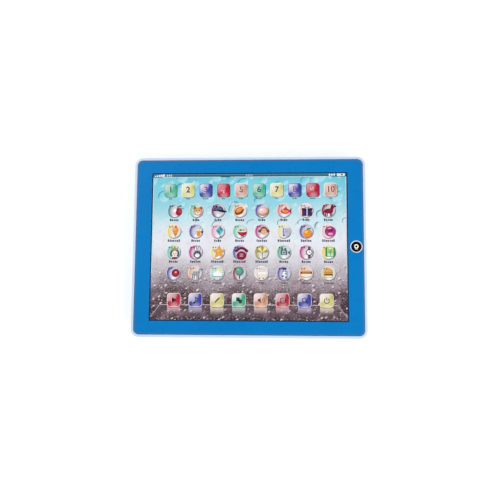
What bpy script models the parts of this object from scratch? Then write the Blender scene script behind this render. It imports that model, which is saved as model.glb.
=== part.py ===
"""Toy learning tablet: a flat children's toy that copies the shape of a 9.7 inch tablet computer.

The tablet lies on its back. Its front faces +Z, its width runs along X and its height along Y.
The origin is the middle of the flat back face. Lengths are in metres.

From the front: a blue bezel around a printed picture panel, three membrane sheets that sense a
finger anywhere on the panel, a backing plate, and then the electronics and the batteries in a
white rear case. The home button, the speaker cone, the battery door and its captive screw move.
"""
import math

import bmesh
import bpy
import numpy as np
from mathutils import Matrix, Vector

MM = 0.001
GAP = 0.3 * MM                      # air between pieces that rest on each other

# ---- Driving dimensions -------------------------------------------------------------------
CASE_WIDTH = 243.4 * MM
CASE_HEIGHT = 189.4 * MM
THICKNESS = 20.0 * MM
CASE_CORNER = 8.5 * MM
CASE_WALL = 3.0 * MM
FLOOR = 2.0 * MM
RIM_TOP = 19.0 * MM                 # top of the white rim, a little under the blue bezel
RIM_EDGE = 1.1 * MM                 # radius of the rim's outer edge
BACK_EDGE = 4.0 * MM                # radius of the edge around the back face
CASE_BOSS_TOP = 9.0 * MM

WINDOW_WIDTH = 205.6 * MM
WINDOW_HEIGHT = 155.6 * MM
BEZEL_PLATE = 2.0 * MM
BEZEL_LIP = 0.9 * MM                # plate left over the edge of the picture panel
BEZEL_SKIRT = 3.0 * MM              # depth of the skirt inside the rear case
SKIRT_WALL = 1.5 * MM
BEZEL_EDGE = 1.2 * MM               # radius of the bezel's outer top edge

PANEL_MARGIN = 0.9 * MM             # how far the panel reaches under the lip
PANEL_THICKNESS = 0.55 * MM
SHEET = 0.25 * MM
BACKING_THICKNESS = 1.8 * MM
BACKING_WIDTH = 221.0 * MM
BACKING_HEIGHT = 169.0 * MM

PRINT_X = 1.6 * MM                  # middle of the printed keys
NUMBER_Y = 59.3 * MM
NUMBER_PITCH = 18.69 * MM
PICTURE_Y = 37.6 * MM               # first of the four rows
PICTURE_ROW_PITCH = 21.9 * MM
PICTURE_PITCH = 23.0 * MM
FUNCTION_Y = -56.1 * MM
FUNCTION_PITCH = 22.43 * MM

BUTTON = (111.0 * MM, -0.7 * MM)
CAP_RADIUS = 5.15 * MM
CAP_FLANGE = 5.75 * MM              # flange that keeps the cap under the bezel
RING_RADIUS = 6.3 * MM
RING_SHELF = 18.6 * MM
BUTTON_BOARD_TOP = 13.0 * MM
DOME_TOP = 15.3 * MM

BAY_X = 52.0 * MM                   # middle of the battery bay
BAY_WIDTH = 36.0 * MM
BAY_LOW_Y = -41.0 * MM
BAY_HIGH_Y = 26.0 * MM
BAY_WALL = 1.4 * MM
BAY_CEILING = 12.8 * MM
BAY_TOP = 14.0 * MM
DIVIDER_LOW_Y = 11.6 * MM           # wall between the cells and the door's screw
DIVIDER_HIGH_Y = 12.8 * MM
CELL_RADIUS = 5.25 * MM             # AAA cell
CELL_LENGTH = 44.5 * MM
CELL_PITCH = 11.3 * MM
CONTACT_THICKNESS = 0.4 * MM
TAG_LOW = 8.0 * MM                  # solder tags that pass through the bay's walls
TAG_HIGH = 10.0 * MM
DOOR_LEDGE = 1.0 * MM
DOOR_OUTSIDE = 0.3 * MM
DOOR_THICKNESS = 1.4 * MM
DOOR_REBATE_TOP = 2.2 * MM          # underside of the bay's walls, above the door's edge
DOOR_BOSS_TOP = 5.5 * MM
TAB_WIDTH = 8.0 * MM
DOOR_SCREW = (BAY_X, 19.5 * MM)
DOOR_SCREW_TIP = 13.0 * MM
THREAD_PITCH = 0.8 * MM
SCREW_TURNS = 4

SPEAKER_X = -62.0 * MM
SPEAKER_Y = -38.0 * MM
SPEAKER_RADIUS = 20.0 * MM
SEAT_TOP = 4.3 * MM                 # rim and bosses around the speaker

BOARD_X = -22.0 * MM
BOARD_Y = 30.0 * MM
BOARD_WIDTH = 76.0 * MM
BOARD_HEIGHT = 46.0 * MM
BOARD_BOTTOM = 6.0 * MM
BOARD_THICKNESS = 1.2 * MM

# ---- Levels, outlines and places worked out from them ---------------------------------------
INNER_WIDTH = CASE_WIDTH - 2 * CASE_WALL
INNER_HEIGHT = CASE_HEIGHT - 2 * CASE_WALL
BEZEL_WIDTH = INNER_WIDTH - 2 * GAP
BEZEL_HEIGHT = INNER_HEIGHT - 2 * GAP
BEZEL_CORNER = CASE_CORNER - CASE_WALL - GAP
BEZEL_UNDERSIDE = THICKNESS - BEZEL_PLATE
LIP_UNDERSIDE = THICKNESS - BEZEL_LIP
PANEL_WIDTH = WINDOW_WIDTH + 2 * PANEL_MARGIN
PANEL_HEIGHT = WINDOW_HEIGHT + 2 * PANEL_MARGIN
PANEL_TOP = LIP_UNDERSIDE - GAP
MEMBRANE_TOP = PANEL_TOP - PANEL_THICKNESS - GAP
BACKING_TOP = MEMBRANE_TOP - 3 * (SHEET + GAP)
BACKING_BOTTOM = BACKING_TOP - BACKING_THICKNESS

BAY_HEIGHT = BAY_HIGH_Y - BAY_LOW_Y
BAY_MIDDLE_Y = (BAY_HIGH_Y + BAY_LOW_Y) / 2
CELL_PLACES = [BAY_X + i * CELL_PITCH for i in (-1, 0, 1)]
CELL_Z = FLOOR + CELL_RADIUS
CONTACT_LOW_Y = BAY_LOW_Y + 0.9 * MM
CONTACT_HIGH_Y = DIVIDER_LOW_Y - 0.9 * MM
DOOR_INSIDE = DOOR_OUTSIDE + DOOR_THICKNESS
DOOR_AXIS = (BAY_X, BAY_LOW_Y - DOOR_LEDGE + GAP / 2, DOOR_OUTSIDE)
TAB_PLACES = (BAY_X - CELL_PITCH, BAY_X + CELL_PITCH)
SCREW_BOSS_LOW = DOOR_SCREW_TIP - SCREW_TURNS * THREAD_PITCH

BOARD_TOP = BOARD_BOTTOM + BOARD_THICKNESS
TAIL_Y = BOARD_Y + BOARD_HEIGHT / 2 - 4.0 * MM

CASE_SCREWS = [(sx * 114.7 * MM, sy * 78.0 * MM) for sx in (-1, 1) for sy in (-1, 1)]
CASE_SCREWS += [(0.0, sy * 87.7 * MM) for sy in (-1, 1)]
PLATE_SCREWS = [(sx * 107.2 * MM, sy * 81.3 * MM) for sx in (-1, 1) for sy in (-1, 1)]
BOARD_POSTS = [(BOARD_X + sx * 34.0 * MM, BOARD_Y + sy * 19.0 * MM) for sx in (-1, 1) for sy in (-1, 1)]
BOARD_SCREWS = [BOARD_POSTS[0], BOARD_POSTS[3]]
BUTTON_SCREWS = [(BUTTON[0], BUTTON[1] + sy * 10.5 * MM) for sy in (-1, 1)]
CLAMP_SCREWS = [(SPEAKER_X + sx * 25.5 * MM, SPEAKER_Y) for sx in (-1, 1)]

# colour, roughness, metallic
MATERIALS = {
    "blue_plastic": ((0.012, 0.205, 0.560), 0.35, 0.0),
    "white_plastic": ((0.800, 0.860, 0.950), 0.40, 0.0),
    "printed_film": ((0.350, 0.620, 0.750), 0.15, 0.0),
    "clear_film": ((0.750, 0.760, 0.720), 0.30, 0.0),
    "grey_plastic": ((0.300, 0.310, 0.330), 0.50, 0.0),
    "black_plastic": ((0.012, 0.012, 0.014), 0.25, 0.0),
    "chrome": ((0.780, 0.790, 0.800), 0.12, 1.0),
    "rubber": ((0.450, 0.450, 0.440), 0.70, 0.0),
    "board_green": ((0.020, 0.190, 0.080), 0.40, 0.0),
    "epoxy_black": ((0.015, 0.015, 0.015), 0.45, 0.0),
    "steel": ((0.560, 0.570, 0.580), 0.30, 1.0),
    "ferrite": ((0.120, 0.120, 0.130), 0.60, 0.0),
    "paper_cone": ((0.050, 0.048, 0.045), 0.90, 0.0),
    "foam": ((0.030, 0.030, 0.032), 0.95, 0.0),
    "cell_jacket": ((0.060, 0.240, 0.100), 0.35, 0.0),
    "capacitor_sleeve": ((0.020, 0.040, 0.160), 0.40, 0.0),
    "wire_red": ((0.550, 0.015, 0.015), 0.45, 0.0),
    "wire_black": ((0.015, 0.015, 0.015), 0.45, 0.0),
}


# ---- Helpers -------------------------------------------------------------------------------
def clear_scene():
    """Empties the file without closing it."""
    for obj in list(bpy.data.objects):
        bpy.data.objects.remove(obj, do_unlink=True)


def material(slot):
    """The Principled material of a slot, made the first time it is asked for."""
    found = bpy.data.materials.get(slot)
    if found:
        return found
    colour, roughness, metallic = MATERIALS[slot]
    new = bpy.data.materials.new(slot)
    new.use_nodes = True
    shader = new.node_tree.nodes["Principled BSDF"]
    shader.inputs["Base Color"].default_value = (*colour, 1.0)
    shader.inputs["Roughness"].default_value = roughness
    shader.inputs["Metallic"].default_value = metallic
    new.diffuse_color = (*colour, 1.0)
    return new


def make_object(name, bm, slot, origin=(0.0, 0.0, 0.0)):
    """Turns a bmesh in world places into an object whose origin is at the given point."""
    bmesh.ops.recalc_face_normals(bm, faces=bm.faces)
    bmesh.ops.translate(bm, verts=bm.verts, vec=-Vector(origin))
    mesh = bpy.data.meshes.new(name)
    bm.to_mesh(mesh)
    bm.free()
    obj = bpy.data.objects.new(name, mesh)
    obj.location = origin
    bpy.context.collection.objects.link(obj)
    if slot:
        mesh.materials.append(material(slot))
        mesh.shade_smooth()
        mesh.set_sharp_from_angle(angle=math.radians(35))
    return obj


def boolean(target, tool_name, bm, operation):
    """Joins or cuts with a hidden guide object, through a Boolean modifier on the target."""
    tool = make_object(tool_name, bm, None)
    tool.hide_render = True
    tool.display_type = "WIRE"
    modifier = target.modifiers.new(tool_name, "BOOLEAN")
    modifier.operation = operation
    modifier.object = tool
    modifier.solver = "EXACT"


def rounded_outline(width, height, radius, steps=6):
    """A rounded rectangle about the origin, anticlockwise."""
    points = []
    for quarter, (sx, sy) in enumerate(((1, 1), (-1, 1), (-1, -1), (1, -1))):
        for i in range(steps + 1):
            angle = math.radians(90 * (quarter + i / steps))
            x = sx * (width / 2 - radius) + radius * math.cos(angle)
            y = sy * (height / 2 - radius) + radius * math.sin(angle)
            points.append((x, y))
    return points


def add_loft(bm, rings, closed=False):
    """Skins (outline, z) rings of equally many points; an open loft gets two flat ends."""
    loops = [[bm.verts.new((x, y, z)) for x, y in outline] for outline, z in rings]
    pairs = list(zip(loops, loops[1:]))
    if closed:
        pairs.append((loops[-1], loops[0]))
    for lower, upper in pairs:
        for i in range(len(lower)):
            j = (i + 1) % len(lower)
            bm.faces.new((lower[i], lower[j], upper[j], upper[i]))
    if not closed:
        bm.faces.new(list(reversed(loops[0])))
        bm.faces.new(loops[-1])


def add_slab(bm, width, height, radius, low, high, centre=(0.0, 0.0), steps=3):
    """A flat plate with rounded corners."""
    outline = [(x + centre[0], y + centre[1]) for x, y in rounded_outline(width, height, radius, steps)]
    add_loft(bm, [(outline, low), (outline, high)])


def add_box(bm, low, high):
    """A box between two opposite corners."""
    corners = [(low[0], low[1]), (high[0], low[1]), (high[0], high[1]), (low[0], high[1])]
    add_loft(bm, [(corners, low[2]), (corners, high[2])])


def add_prism(bm, outline, axis, low, high):
    """Extrudes an outline along X (points are y, z) or along Y (points are x, z)."""
    ends = []
    for along in (low, high):
        if axis == "X":
            ends.append([bm.verts.new((along, a, b)) for a, b in outline])
        else:
            ends.append([bm.verts.new((a, along, b)) for a, b in outline])
    for i in range(len(outline)):
        j = (i + 1) % len(outline)
        bm.faces.new((ends[0][i], ends[0][j], ends[1][j], ends[1][i]))
    for end in ends:
        bm.faces.new(end)


def add_turned(bm, profile, centre=(0.0, 0.0), sides=24, matrix=None):
    """Turns an (r, z) profile about a vertical axis; matrix then places the result."""
    columns = []
    made = []
    for r, z in profile:
        if r == 0:
            made.append(bm.verts.new((centre[0], centre[1], z)))
            columns.append([made[-1]] * sides)
            continue
        ring = []
        for i in range(sides):
            angle = 2 * math.pi * (i + 0.5) / sides
            ring.append(bm.verts.new((centre[0] + r * math.cos(angle), centre[1] + r * math.sin(angle), z)))
        made += ring
        columns.append(ring)
    pairs = list(zip(columns, columns[1:]))
    if profile[0][0] > 0:
        pairs.append((columns[-1], columns[0]))
    for lower, upper in pairs:
        for i in range(sides):
            j = (i + 1) % sides
            corners = []
            for vert in (lower[i], lower[j], upper[j], upper[i]):
                if vert not in corners:
                    corners.append(vert)
            if len(corners) > 2:
                bm.faces.new(corners)
    if matrix:
        bmesh.ops.transform(bm, matrix=matrix, verts=made)


def add_cylinder(bm, centre, radius, low, high, sides=24):
    """An upright cylinder."""
    add_turned(bm, [(0, low), (radius, low), (radius, high), (0, high)], centre, sides)


def add_tube(bm, points, radius, sides=6):
    """Sweeps a round section along a line of points, with flat ends."""
    points = [Vector(p) for p in points]
    tangents = []
    for i in range(len(points)):
        before = points[max(i - 1, 0)]
        after = points[min(i + 1, len(points) - 1)]
        tangents.append((after - before).normalized())
    normal = tangents[0].orthogonal().normalized()
    rings = []
    for point, tangent in zip(points, tangents):
        normal = (normal - tangent * normal.dot(tangent)).normalized()
        side = tangent.cross(normal)
        ring = []
        for k in range(sides):
            angle = 2 * math.pi * k / sides
            offset = radius * (math.cos(angle) * normal + math.sin(angle) * side)
            ring.append(bm.verts.new(point + offset))
        rings.append(ring)
    for lower, upper in zip(rings, rings[1:]):
        for k in range(sides):
            j = (k + 1) % sides
            bm.faces.new((lower[k], lower[j], upper[j], upper[k]))
    bm.faces.new(list(reversed(rings[0])))
    bm.faces.new(rings[-1])


def smooth_route(route, samples=3):
    """A Catmull-Rom curve through the route's points."""
    points = [np.array(p, dtype=float) for p in route]
    padded = [2 * points[0] - points[1]] + points + [2 * points[-1] - points[-2]]
    curve = []
    for a, b, c, d in zip(padded, padded[1:], padded[2:], padded[3:]):
        for i in range(samples):
            t = i / samples
            linear = 2 * b + (c - a) * t
            curved = (2 * a - 5 * b + 4 * c - d) * t ** 2 + (3 * b - a - 3 * c + d) * t ** 3
            curve.append((linear + curved) / 2)
    curve.append(points[-1])
    return curve


def make_box_object(name, slot, low, high):
    bm = bmesh.new()
    add_box(bm, low, high)
    return make_object(name, bm, slot)


def make_slab_object(name, slot, width, height, radius, low, high, centre=(0.0, 0.0)):
    bm = bmesh.new()
    add_slab(bm, width, height, radius, low, high, centre)
    return make_object(name, bm, slot)


def make_lead(name, slot, route, radius=0.6 * MM):
    """An insulated wire along a hand-laid route, given in millimetres."""
    bm = bmesh.new()
    curve = smooth_route([[value * MM for value in point] for point in route])
    add_tube(bm, curve, radius, sides=8)
    return make_object(name, bm, slot)


def make_screw(name, place, outer, inner, head_radius, tip, shank_radius, recess=False):
    """A pan-head screw on a vertical axis, from its head's outer face to its tip."""
    toward_tip = math.copysign(1.0, tip - outer)
    edge = 0.35 * MM
    point = tip - toward_tip * 0.8 * MM
    profile = [(0, outer), (head_radius - edge, outer), (head_radius, outer + toward_tip * edge)]
    profile += [(head_radius, inner), (shank_radius, inner), (shank_radius, point)]
    profile += [(0.4 * shank_radius, tip), (0, tip)]
    bm = bmesh.new()
    add_turned(bm, profile, place, sides=12)
    screw = make_object(name, bm, "steel", origin=(*place, outer))
    if recess:
        long_arm = 0.62 * head_radius
        short_arm = 0.38 * MM
        outline = []
        for quarter in range(4):
            turn = Matrix.Rotation(math.radians(90 * quarter), 2)
            for corner in ((long_arm, -short_arm), (long_arm, short_arm), (short_arm, short_arm)):
                point_xy = turn @ Vector(corner)
                outline.append((place[0] + point_xy.x, place[1] + point_xy.y))
        levels = sorted((outer - toward_tip * 0.5 * MM, outer + toward_tip * 0.8 * MM))
        cross = bmesh.new()
        add_loft(cross, [(outline, levels[0]), (outline, levels[1])])
        boolean(screw, name + "_recess_cut", cross, "DIFFERENCE")
    return screw


# ---- Housing -------------------------------------------------------------------------------
def make_rear_case():
    """White tray with its bosses, battery bay, speaker grille and screw recesses."""
    rings = []
    for i in range(5):
        angle = math.radians(90 * i / 4)
        rings.append((BACK_EDGE * (1 - math.sin(angle)), BACK_EDGE * (1 - math.cos(angle))))
    for i in range(4):
        angle = math.radians(90 * i / 3)
        rings.append((RIM_EDGE * (1 - math.cos(angle)), RIM_TOP - RIM_EDGE * (1 - math.sin(angle))))
    ease = 0.25 * MM
    fillet = 1.5 * MM
    rings.append((CASE_WALL - ease, RIM_TOP))
    rings.append((CASE_WALL, RIM_TOP - ease))
    rings.append((CASE_WALL, FLOOR + fillet))
    rings.append((CASE_WALL + fillet, FLOOR))
    loft = []
    for inset, z in rings:
        width = CASE_WIDTH - 2 * inset
        height = CASE_HEIGHT - 2 * inset
        loft.append((rounded_outline(width, height, CASE_CORNER - inset), z))
    shell = bmesh.new()
    add_loft(shell, loft)
    case = make_object("rear_case", shell, "white_plastic")

    root = FLOOR - 0.6 * MM
    low_x = BAY_X - BAY_WIDTH / 2
    high_x = BAY_X + BAY_WIDTH / 2
    bosses = bmesh.new()
    add_box(bosses, (low_x - BAY_WALL, BAY_LOW_Y - BAY_WALL, root),
            (high_x + BAY_WALL, BAY_HIGH_Y + BAY_WALL, BAY_TOP))
    for place in CASE_SCREWS:
        add_cylinder(bosses, place, 3.4 * MM, root, CASE_BOSS_TOP, sides=20)
    for place in BOARD_POSTS:
        add_cylinder(bosses, place, 2.8 * MM, root, BOARD_BOTTOM - GAP, sides=12)
    for place in CLAMP_SCREWS:
        add_cylinder(bosses, place, 2.6 * MM, root, SEAT_TOP, sides=12)
    inside = SPEAKER_RADIUS + GAP
    outside = inside + 1.2 * MM
    seat = [(inside, root), (outside, root), (outside, SEAT_TOP), (inside, SEAT_TOP)]
    add_turned(bosses, seat, (SPEAKER_X, SPEAKER_Y), sides=32)
    boolean(case, "rear_case_bosses", bosses, "UNION")

    below = -2.0 * MM
    hollow = bmesh.new()
    add_box(hollow, (low_x, BAY_LOW_Y, below), (high_x, DIVIDER_LOW_Y, BAY_CEILING))
    add_box(hollow, (low_x, DIVIDER_HIGH_Y, below), (high_x, BAY_HIGH_Y, BAY_CEILING))
    boolean(case, "rear_case_bay_cut", hollow, "DIFFERENCE")

    recess = bmesh.new()
    add_slab(recess, BAY_WIDTH + 2 * DOOR_LEDGE, BAY_HEIGHT + 2 * DOOR_LEDGE, 1.6 * MM, below,
             DOOR_REBATE_TOP, (BAY_X, BAY_MIDDLE_Y))
    boolean(case, "rear_case_door_recess_cut", recess, "DIFFERENCE")

    boss = bmesh.new()
    add_cylinder(boss, DOOR_SCREW, 3.75 * MM, SCREW_BOSS_LOW, BAY_CEILING + 0.5 * MM, sides=20)
    boolean(case, "rear_case_door_boss", boss, "UNION")

    holes = bmesh.new()
    add_cylinder(holes, DOOR_SCREW, 2.1 * MM, SCREW_BOSS_LOW - MM, DOOR_SCREW_TIP + GAP, sides=16)
    for place in CASE_SCREWS:
        profile = [(0, below), (3.0 * MM, below), (3.0 * MM, 4.5 * MM), (1.7 * MM, 4.5 * MM)]
        profile += [(1.7 * MM, CASE_BOSS_TOP + MM), (0, CASE_BOSS_TOP + MM)]
        add_turned(holes, profile, place, sides=16)
    for place in BOARD_SCREWS:
        add_cylinder(holes, place, 1.3 * MM, 2.6 * MM, BOARD_BOTTOM + MM, sides=8)
    for place in CLAMP_SCREWS:
        add_cylinder(holes, place, 1.3 * MM, 0.9 * MM, SEAT_TOP + MM, sides=8)
    for wall_x, y in ((low_x - BAY_WALL / 2, CONTACT_HIGH_Y), (high_x + BAY_WALL / 2, CONTACT_LOW_Y)):
        add_box(holes, (wall_x - BAY_WALL, y - 0.5 * MM, TAG_LOW - 0.4 * MM),
                (wall_x + BAY_WALL, y + 0.5 * MM, TAG_HIGH + 0.4 * MM))
    for middle in TAB_PLACES:
        half = TAB_WIDTH / 2 + GAP
        add_box(holes, (middle - half, BAY_LOW_Y - 2 * BAY_WALL, FLOOR - GAP),
                (middle + half, BAY_LOW_Y + MM, 4.8 * MM))
    boolean(case, "rear_case_holes_cut", holes, "DIFFERENCE")

    grille = bmesh.new()
    for row in range(-3, 4):
        y = row * 4.0 * MM
        half = math.sqrt((14.5 * MM) ** 2 - y ** 2)
        place = (SPEAKER_X, SPEAKER_Y + y)
        add_slab(grille, 2 * half, 1.8 * MM, 0.85 * MM, below, FLOOR + MM, place, steps=2)
    boolean(case, "rear_case_grille_cut", grille, "DIFFERENCE")


def make_front_bezel():
    """Blue front frame: rounded plate, skirt inside the case, rebate for the panel, screw posts."""
    skirt_bottom = BEZEL_UNDERSIDE - BEZEL_SKIRT
    rings = [(rounded_outline(BEZEL_WIDTH, BEZEL_HEIGHT, BEZEL_CORNER), skirt_bottom)]
    for i in range(5):
        angle = math.radians(90 * i / 4)
        inset = BEZEL_EDGE * (1 - math.cos(angle))
        outline = rounded_outline(BEZEL_WIDTH - 2 * inset, BEZEL_HEIGHT - 2 * inset, BEZEL_CORNER - inset)
        rings.append((outline, THICKNESS - BEZEL_EDGE * (1 - math.sin(angle))))
    corner = 0.8 * MM
    ease = 0.35 * MM
    eased = rounded_outline(WINDOW_WIDTH + 2 * ease, WINDOW_HEIGHT + 2 * ease, corner + ease)
    window = rounded_outline(WINDOW_WIDTH, WINDOW_HEIGHT, corner)
    rebate = rounded_outline(PANEL_WIDTH + 2 * GAP, PANEL_HEIGHT + 2 * GAP, corner)
    skirt = rounded_outline(BEZEL_WIDTH - 2 * SKIRT_WALL, BEZEL_HEIGHT - 2 * SKIRT_WALL,
                            BEZEL_CORNER - SKIRT_WALL)
    rings += [(eased, THICKNESS), (window, THICKNESS - ease), (window, LIP_UNDERSIDE)]
    rings += [(rebate, LIP_UNDERSIDE), (rebate, BEZEL_UNDERSIDE)]
    rings += [(skirt, BEZEL_UNDERSIDE), (skirt, skirt_bottom)]
    bm = bmesh.new()
    add_loft(bm, rings, closed=True)
    bezel = make_object("front_bezel", bm, "blue_plastic")

    root = BEZEL_UNDERSIDE + 0.6 * MM
    posts = bmesh.new()
    for place in CASE_SCREWS:
        add_cylinder(posts, place, 3.0 * MM, CASE_BOSS_TOP + GAP, root, sides=16)
    for place in PLATE_SCREWS:
        add_cylinder(posts, place, 2.2 * MM, BACKING_TOP + GAP, root, sides=12)
    for place in BUTTON_SCREWS:
        add_cylinder(posts, place, 2.2 * MM, BUTTON_BOARD_TOP + GAP, root, sides=12)
    boolean(bezel, "front_bezel_posts", posts, "UNION")

    bores = bmesh.new()
    for place in CASE_SCREWS:
        add_cylinder(bores, place, 1.7 * MM, 8.0 * MM, 14.5 * MM, sides=10)
    for place in PLATE_SCREWS:
        add_cylinder(bores, place, 1.2 * MM, 15.0 * MM, 18.9 * MM, sides=8)
    for place in BUTTON_SCREWS:
        add_cylinder(bores, place, 1.3 * MM, 12.0 * MM, 17.2 * MM, sides=8)
    seat = RING_RADIUS + 0.25 * MM
    stem = CAP_RADIUS + GAP
    above = THICKNESS + 2 * MM
    hole = [(0, 15.0 * MM), (stem, 15.0 * MM), (stem, RING_SHELF), (seat, RING_SHELF)]
    hole += [(seat, above), (0, above)]
    add_turned(bores, hole, BUTTON, sides=32)
    boolean(bezel, "front_bezel_bores_cut", bores, "DIFFERENCE")


# ---- Picture panel, membrane and backing plate ----------------------------------------------
def key_places():
    """Middles of the fifty touch keys: ten numbers, four rows of eight pictures, eight functions."""
    places = [(PRINT_X + (i - 4.5) * NUMBER_PITCH, NUMBER_Y) for i in range(10)]
    for row in range(4):
        y = PICTURE_Y - row * PICTURE_ROW_PITCH
        places += [(PRINT_X + (i - 3.5) * PICTURE_PITCH, y) for i in range(8)]
    places += [(PRINT_X + (i - 3.5) * FUNCTION_PITCH, FUNCTION_Y) for i in range(8)]
    return places


def make_panel_stack():
    """Printed panel, three membrane sheets and the plate behind them."""
    make_slab_object("picture_panel", "printed_film", PANEL_WIDTH, PANEL_HEIGHT, 0.8 * MM,
                     PANEL_TOP - PANEL_THICKNESS, PANEL_TOP)
    top = MEMBRANE_TOP
    sheets = {}
    for name in ("membrane_top", "membrane_spacer", "membrane_bottom"):
        sheets[name] = make_slab_object(name, "clear_film", PANEL_WIDTH, PANEL_HEIGHT, 0.8 * MM,
                                        top - SHEET, top)
        top -= SHEET + GAP
    windows = bmesh.new()
    half = 4.0 * MM
    for x, y in key_places():
        add_box(windows, (x - half, y - half, BACKING_TOP), (x + half, y + half, PANEL_TOP))
    boolean(sheets["membrane_spacer"], "membrane_spacer_windows_cut", windows, "DIFFERENCE")

    plate = make_slab_object("backing_plate", "grey_plastic", BACKING_WIDTH, BACKING_HEIGHT, 2.0 * MM,
                             BACKING_BOTTOM, BACKING_TOP)
    low = BACKING_BOTTOM - MM
    high = BACKING_TOP + MM
    openings = bmesh.new()
    for place in PLATE_SCREWS:
        add_cylinder(openings, place, 1.2 * MM, low, high, sides=8)
    add_box(openings, (BOARD_X - 12 * MM, TAIL_Y - 1.6 * MM, low),
            (BOARD_X + 12 * MM, TAIL_Y + 1.6 * MM, high))
    add_box(openings, (BUTTON[0] - 7.5 * MM, BUTTON[1] - 15 * MM, low),
            (BACKING_WIDTH / 2 + MM, BUTTON[1] + 15 * MM, high))
    boolean(plate, "backing_plate_openings_cut", openings, "DIFFERENCE")
    for i, place in enumerate(PLATE_SCREWS):
        make_screw(f"plate_screw_{i + 1}", place, 12.9 * MM, 14.2 * MM, 2.0 * MM, 18.6 * MM, 0.9 * MM)


def make_membrane_tail():
    """The strip of film that leads the membrane's tracks down to the board, with one soft bend."""
    start = BOARD_TOP + 2.3 * MM
    bend_start = 11.0 * MM
    front = []
    back = []
    for z in np.linspace(start, BACKING_TOP, 12):
        along = max(0.0, (z - bend_start) / (BACKING_TOP - bend_start))
        bend = 1.0 * MM * math.sin(math.pi * along) ** 2
        front.append((TAIL_Y + bend - SHEET / 2, z))
        back.append((TAIL_Y + bend + SHEET / 2, z))
    bm = bmesh.new()
    add_prism(bm, front + back[::-1], "X", BOARD_X - 11 * MM, BOARD_X + 11 * MM)
    make_object("membrane_tail", bm, "clear_film")


# ---- Home button ---------------------------------------------------------------------------
def make_home_button():
    """Black cap in a chrome ring; under it a rubber dome on a small board."""
    axis = (*BUTTON, THICKNESS)
    flange_low = 16.7 * MM
    flange_high = BEZEL_UNDERSIDE - GAP
    top = THICKNESS + 0.15 * MM
    profile = [(0, DOME_TOP + GAP), (2.0 * MM, DOME_TOP + GAP), (2.0 * MM, flange_low)]
    profile += [(CAP_FLANGE, flange_low), (CAP_FLANGE, flange_high), (CAP_RADIUS, flange_high)]
    profile += [(CAP_RADIUS, top - 0.4 * MM)]
    profile += [(CAP_RADIUS - 0.12 * MM, top - 0.12 * MM), (CAP_RADIUS - 0.4 * MM, top)]
    profile += [(0.5 * CAP_RADIUS, top - 0.25 * MM), (0, top - 0.35 * MM)]
    cap = bmesh.new()
    add_turned(cap, profile, BUTTON, sides=32)
    make_object("home_button_cap", cap, "black_plastic", origin=axis)

    inner = CAP_RADIUS + GAP
    high = THICKNESS + 0.45 * MM
    profile = [(inner, RING_SHELF + GAP), (RING_RADIUS, RING_SHELF + GAP), (RING_RADIUS, high - 0.35 * MM)]
    profile += [(RING_RADIUS - 0.12 * MM, high - 0.1 * MM), ((inner + RING_RADIUS) / 2, high)]
    profile += [(inner + 0.12 * MM, high - 0.1 * MM), (inner, high - 0.35 * MM)]
    ring = bmesh.new()
    add_turned(ring, profile, BUTTON, sides=32)
    make_object("home_button_ring", ring, "chrome", origin=axis)

    base = BUTTON_BOARD_TOP + GAP
    profile = [(0, DOME_TOP - 0.5 * MM), (1.7 * MM, DOME_TOP - 0.6 * MM), (2.9 * MM, base + 0.5 * MM)]
    profile += [(3.3 * MM, base), (4.6 * MM, base), (4.6 * MM, base + 0.5 * MM), (3.6 * MM, base + 0.6 * MM)]
    profile += [(2.4 * MM, DOME_TOP - 0.4 * MM), (2.2 * MM, DOME_TOP), (0, DOME_TOP)]
    dome = bmesh.new()
    add_turned(dome, profile, BUTTON, sides=20)
    make_object("button_dome", dome, "rubber", origin=(*BUTTON, base))

    board = make_slab_object("button_board", "board_green", 12 * MM, 27 * MM, 1.0 * MM,
                             BUTTON_BOARD_TOP - MM, BUTTON_BOARD_TOP, BUTTON)
    holes = bmesh.new()
    for place in BUTTON_SCREWS:
        add_cylinder(holes, place, 1.3 * MM, 11.0 * MM, 14.0 * MM, sides=8)
    boolean(board, "button_board_holes_cut", holes, "DIFFERENCE")
    for i, place in enumerate(BUTTON_SCREWS):
        make_screw(f"button_board_screw_{i + 1}", place, 10.6 * MM, 11.7 * MM, 1.9 * MM, 16.8 * MM, 0.9 * MM)
    make_lead("button_cable", "wire_black", [(106.5, 2, 10.9), (103, 4, 10.2), (96, 11, 8), (86, 23, 6.5),
                                             (72, 33, 6), (48, 38, 6), (28, 41, 7.5), (19, 41.5, 9.2),
                                             (12, 41, 8.4)])


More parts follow.
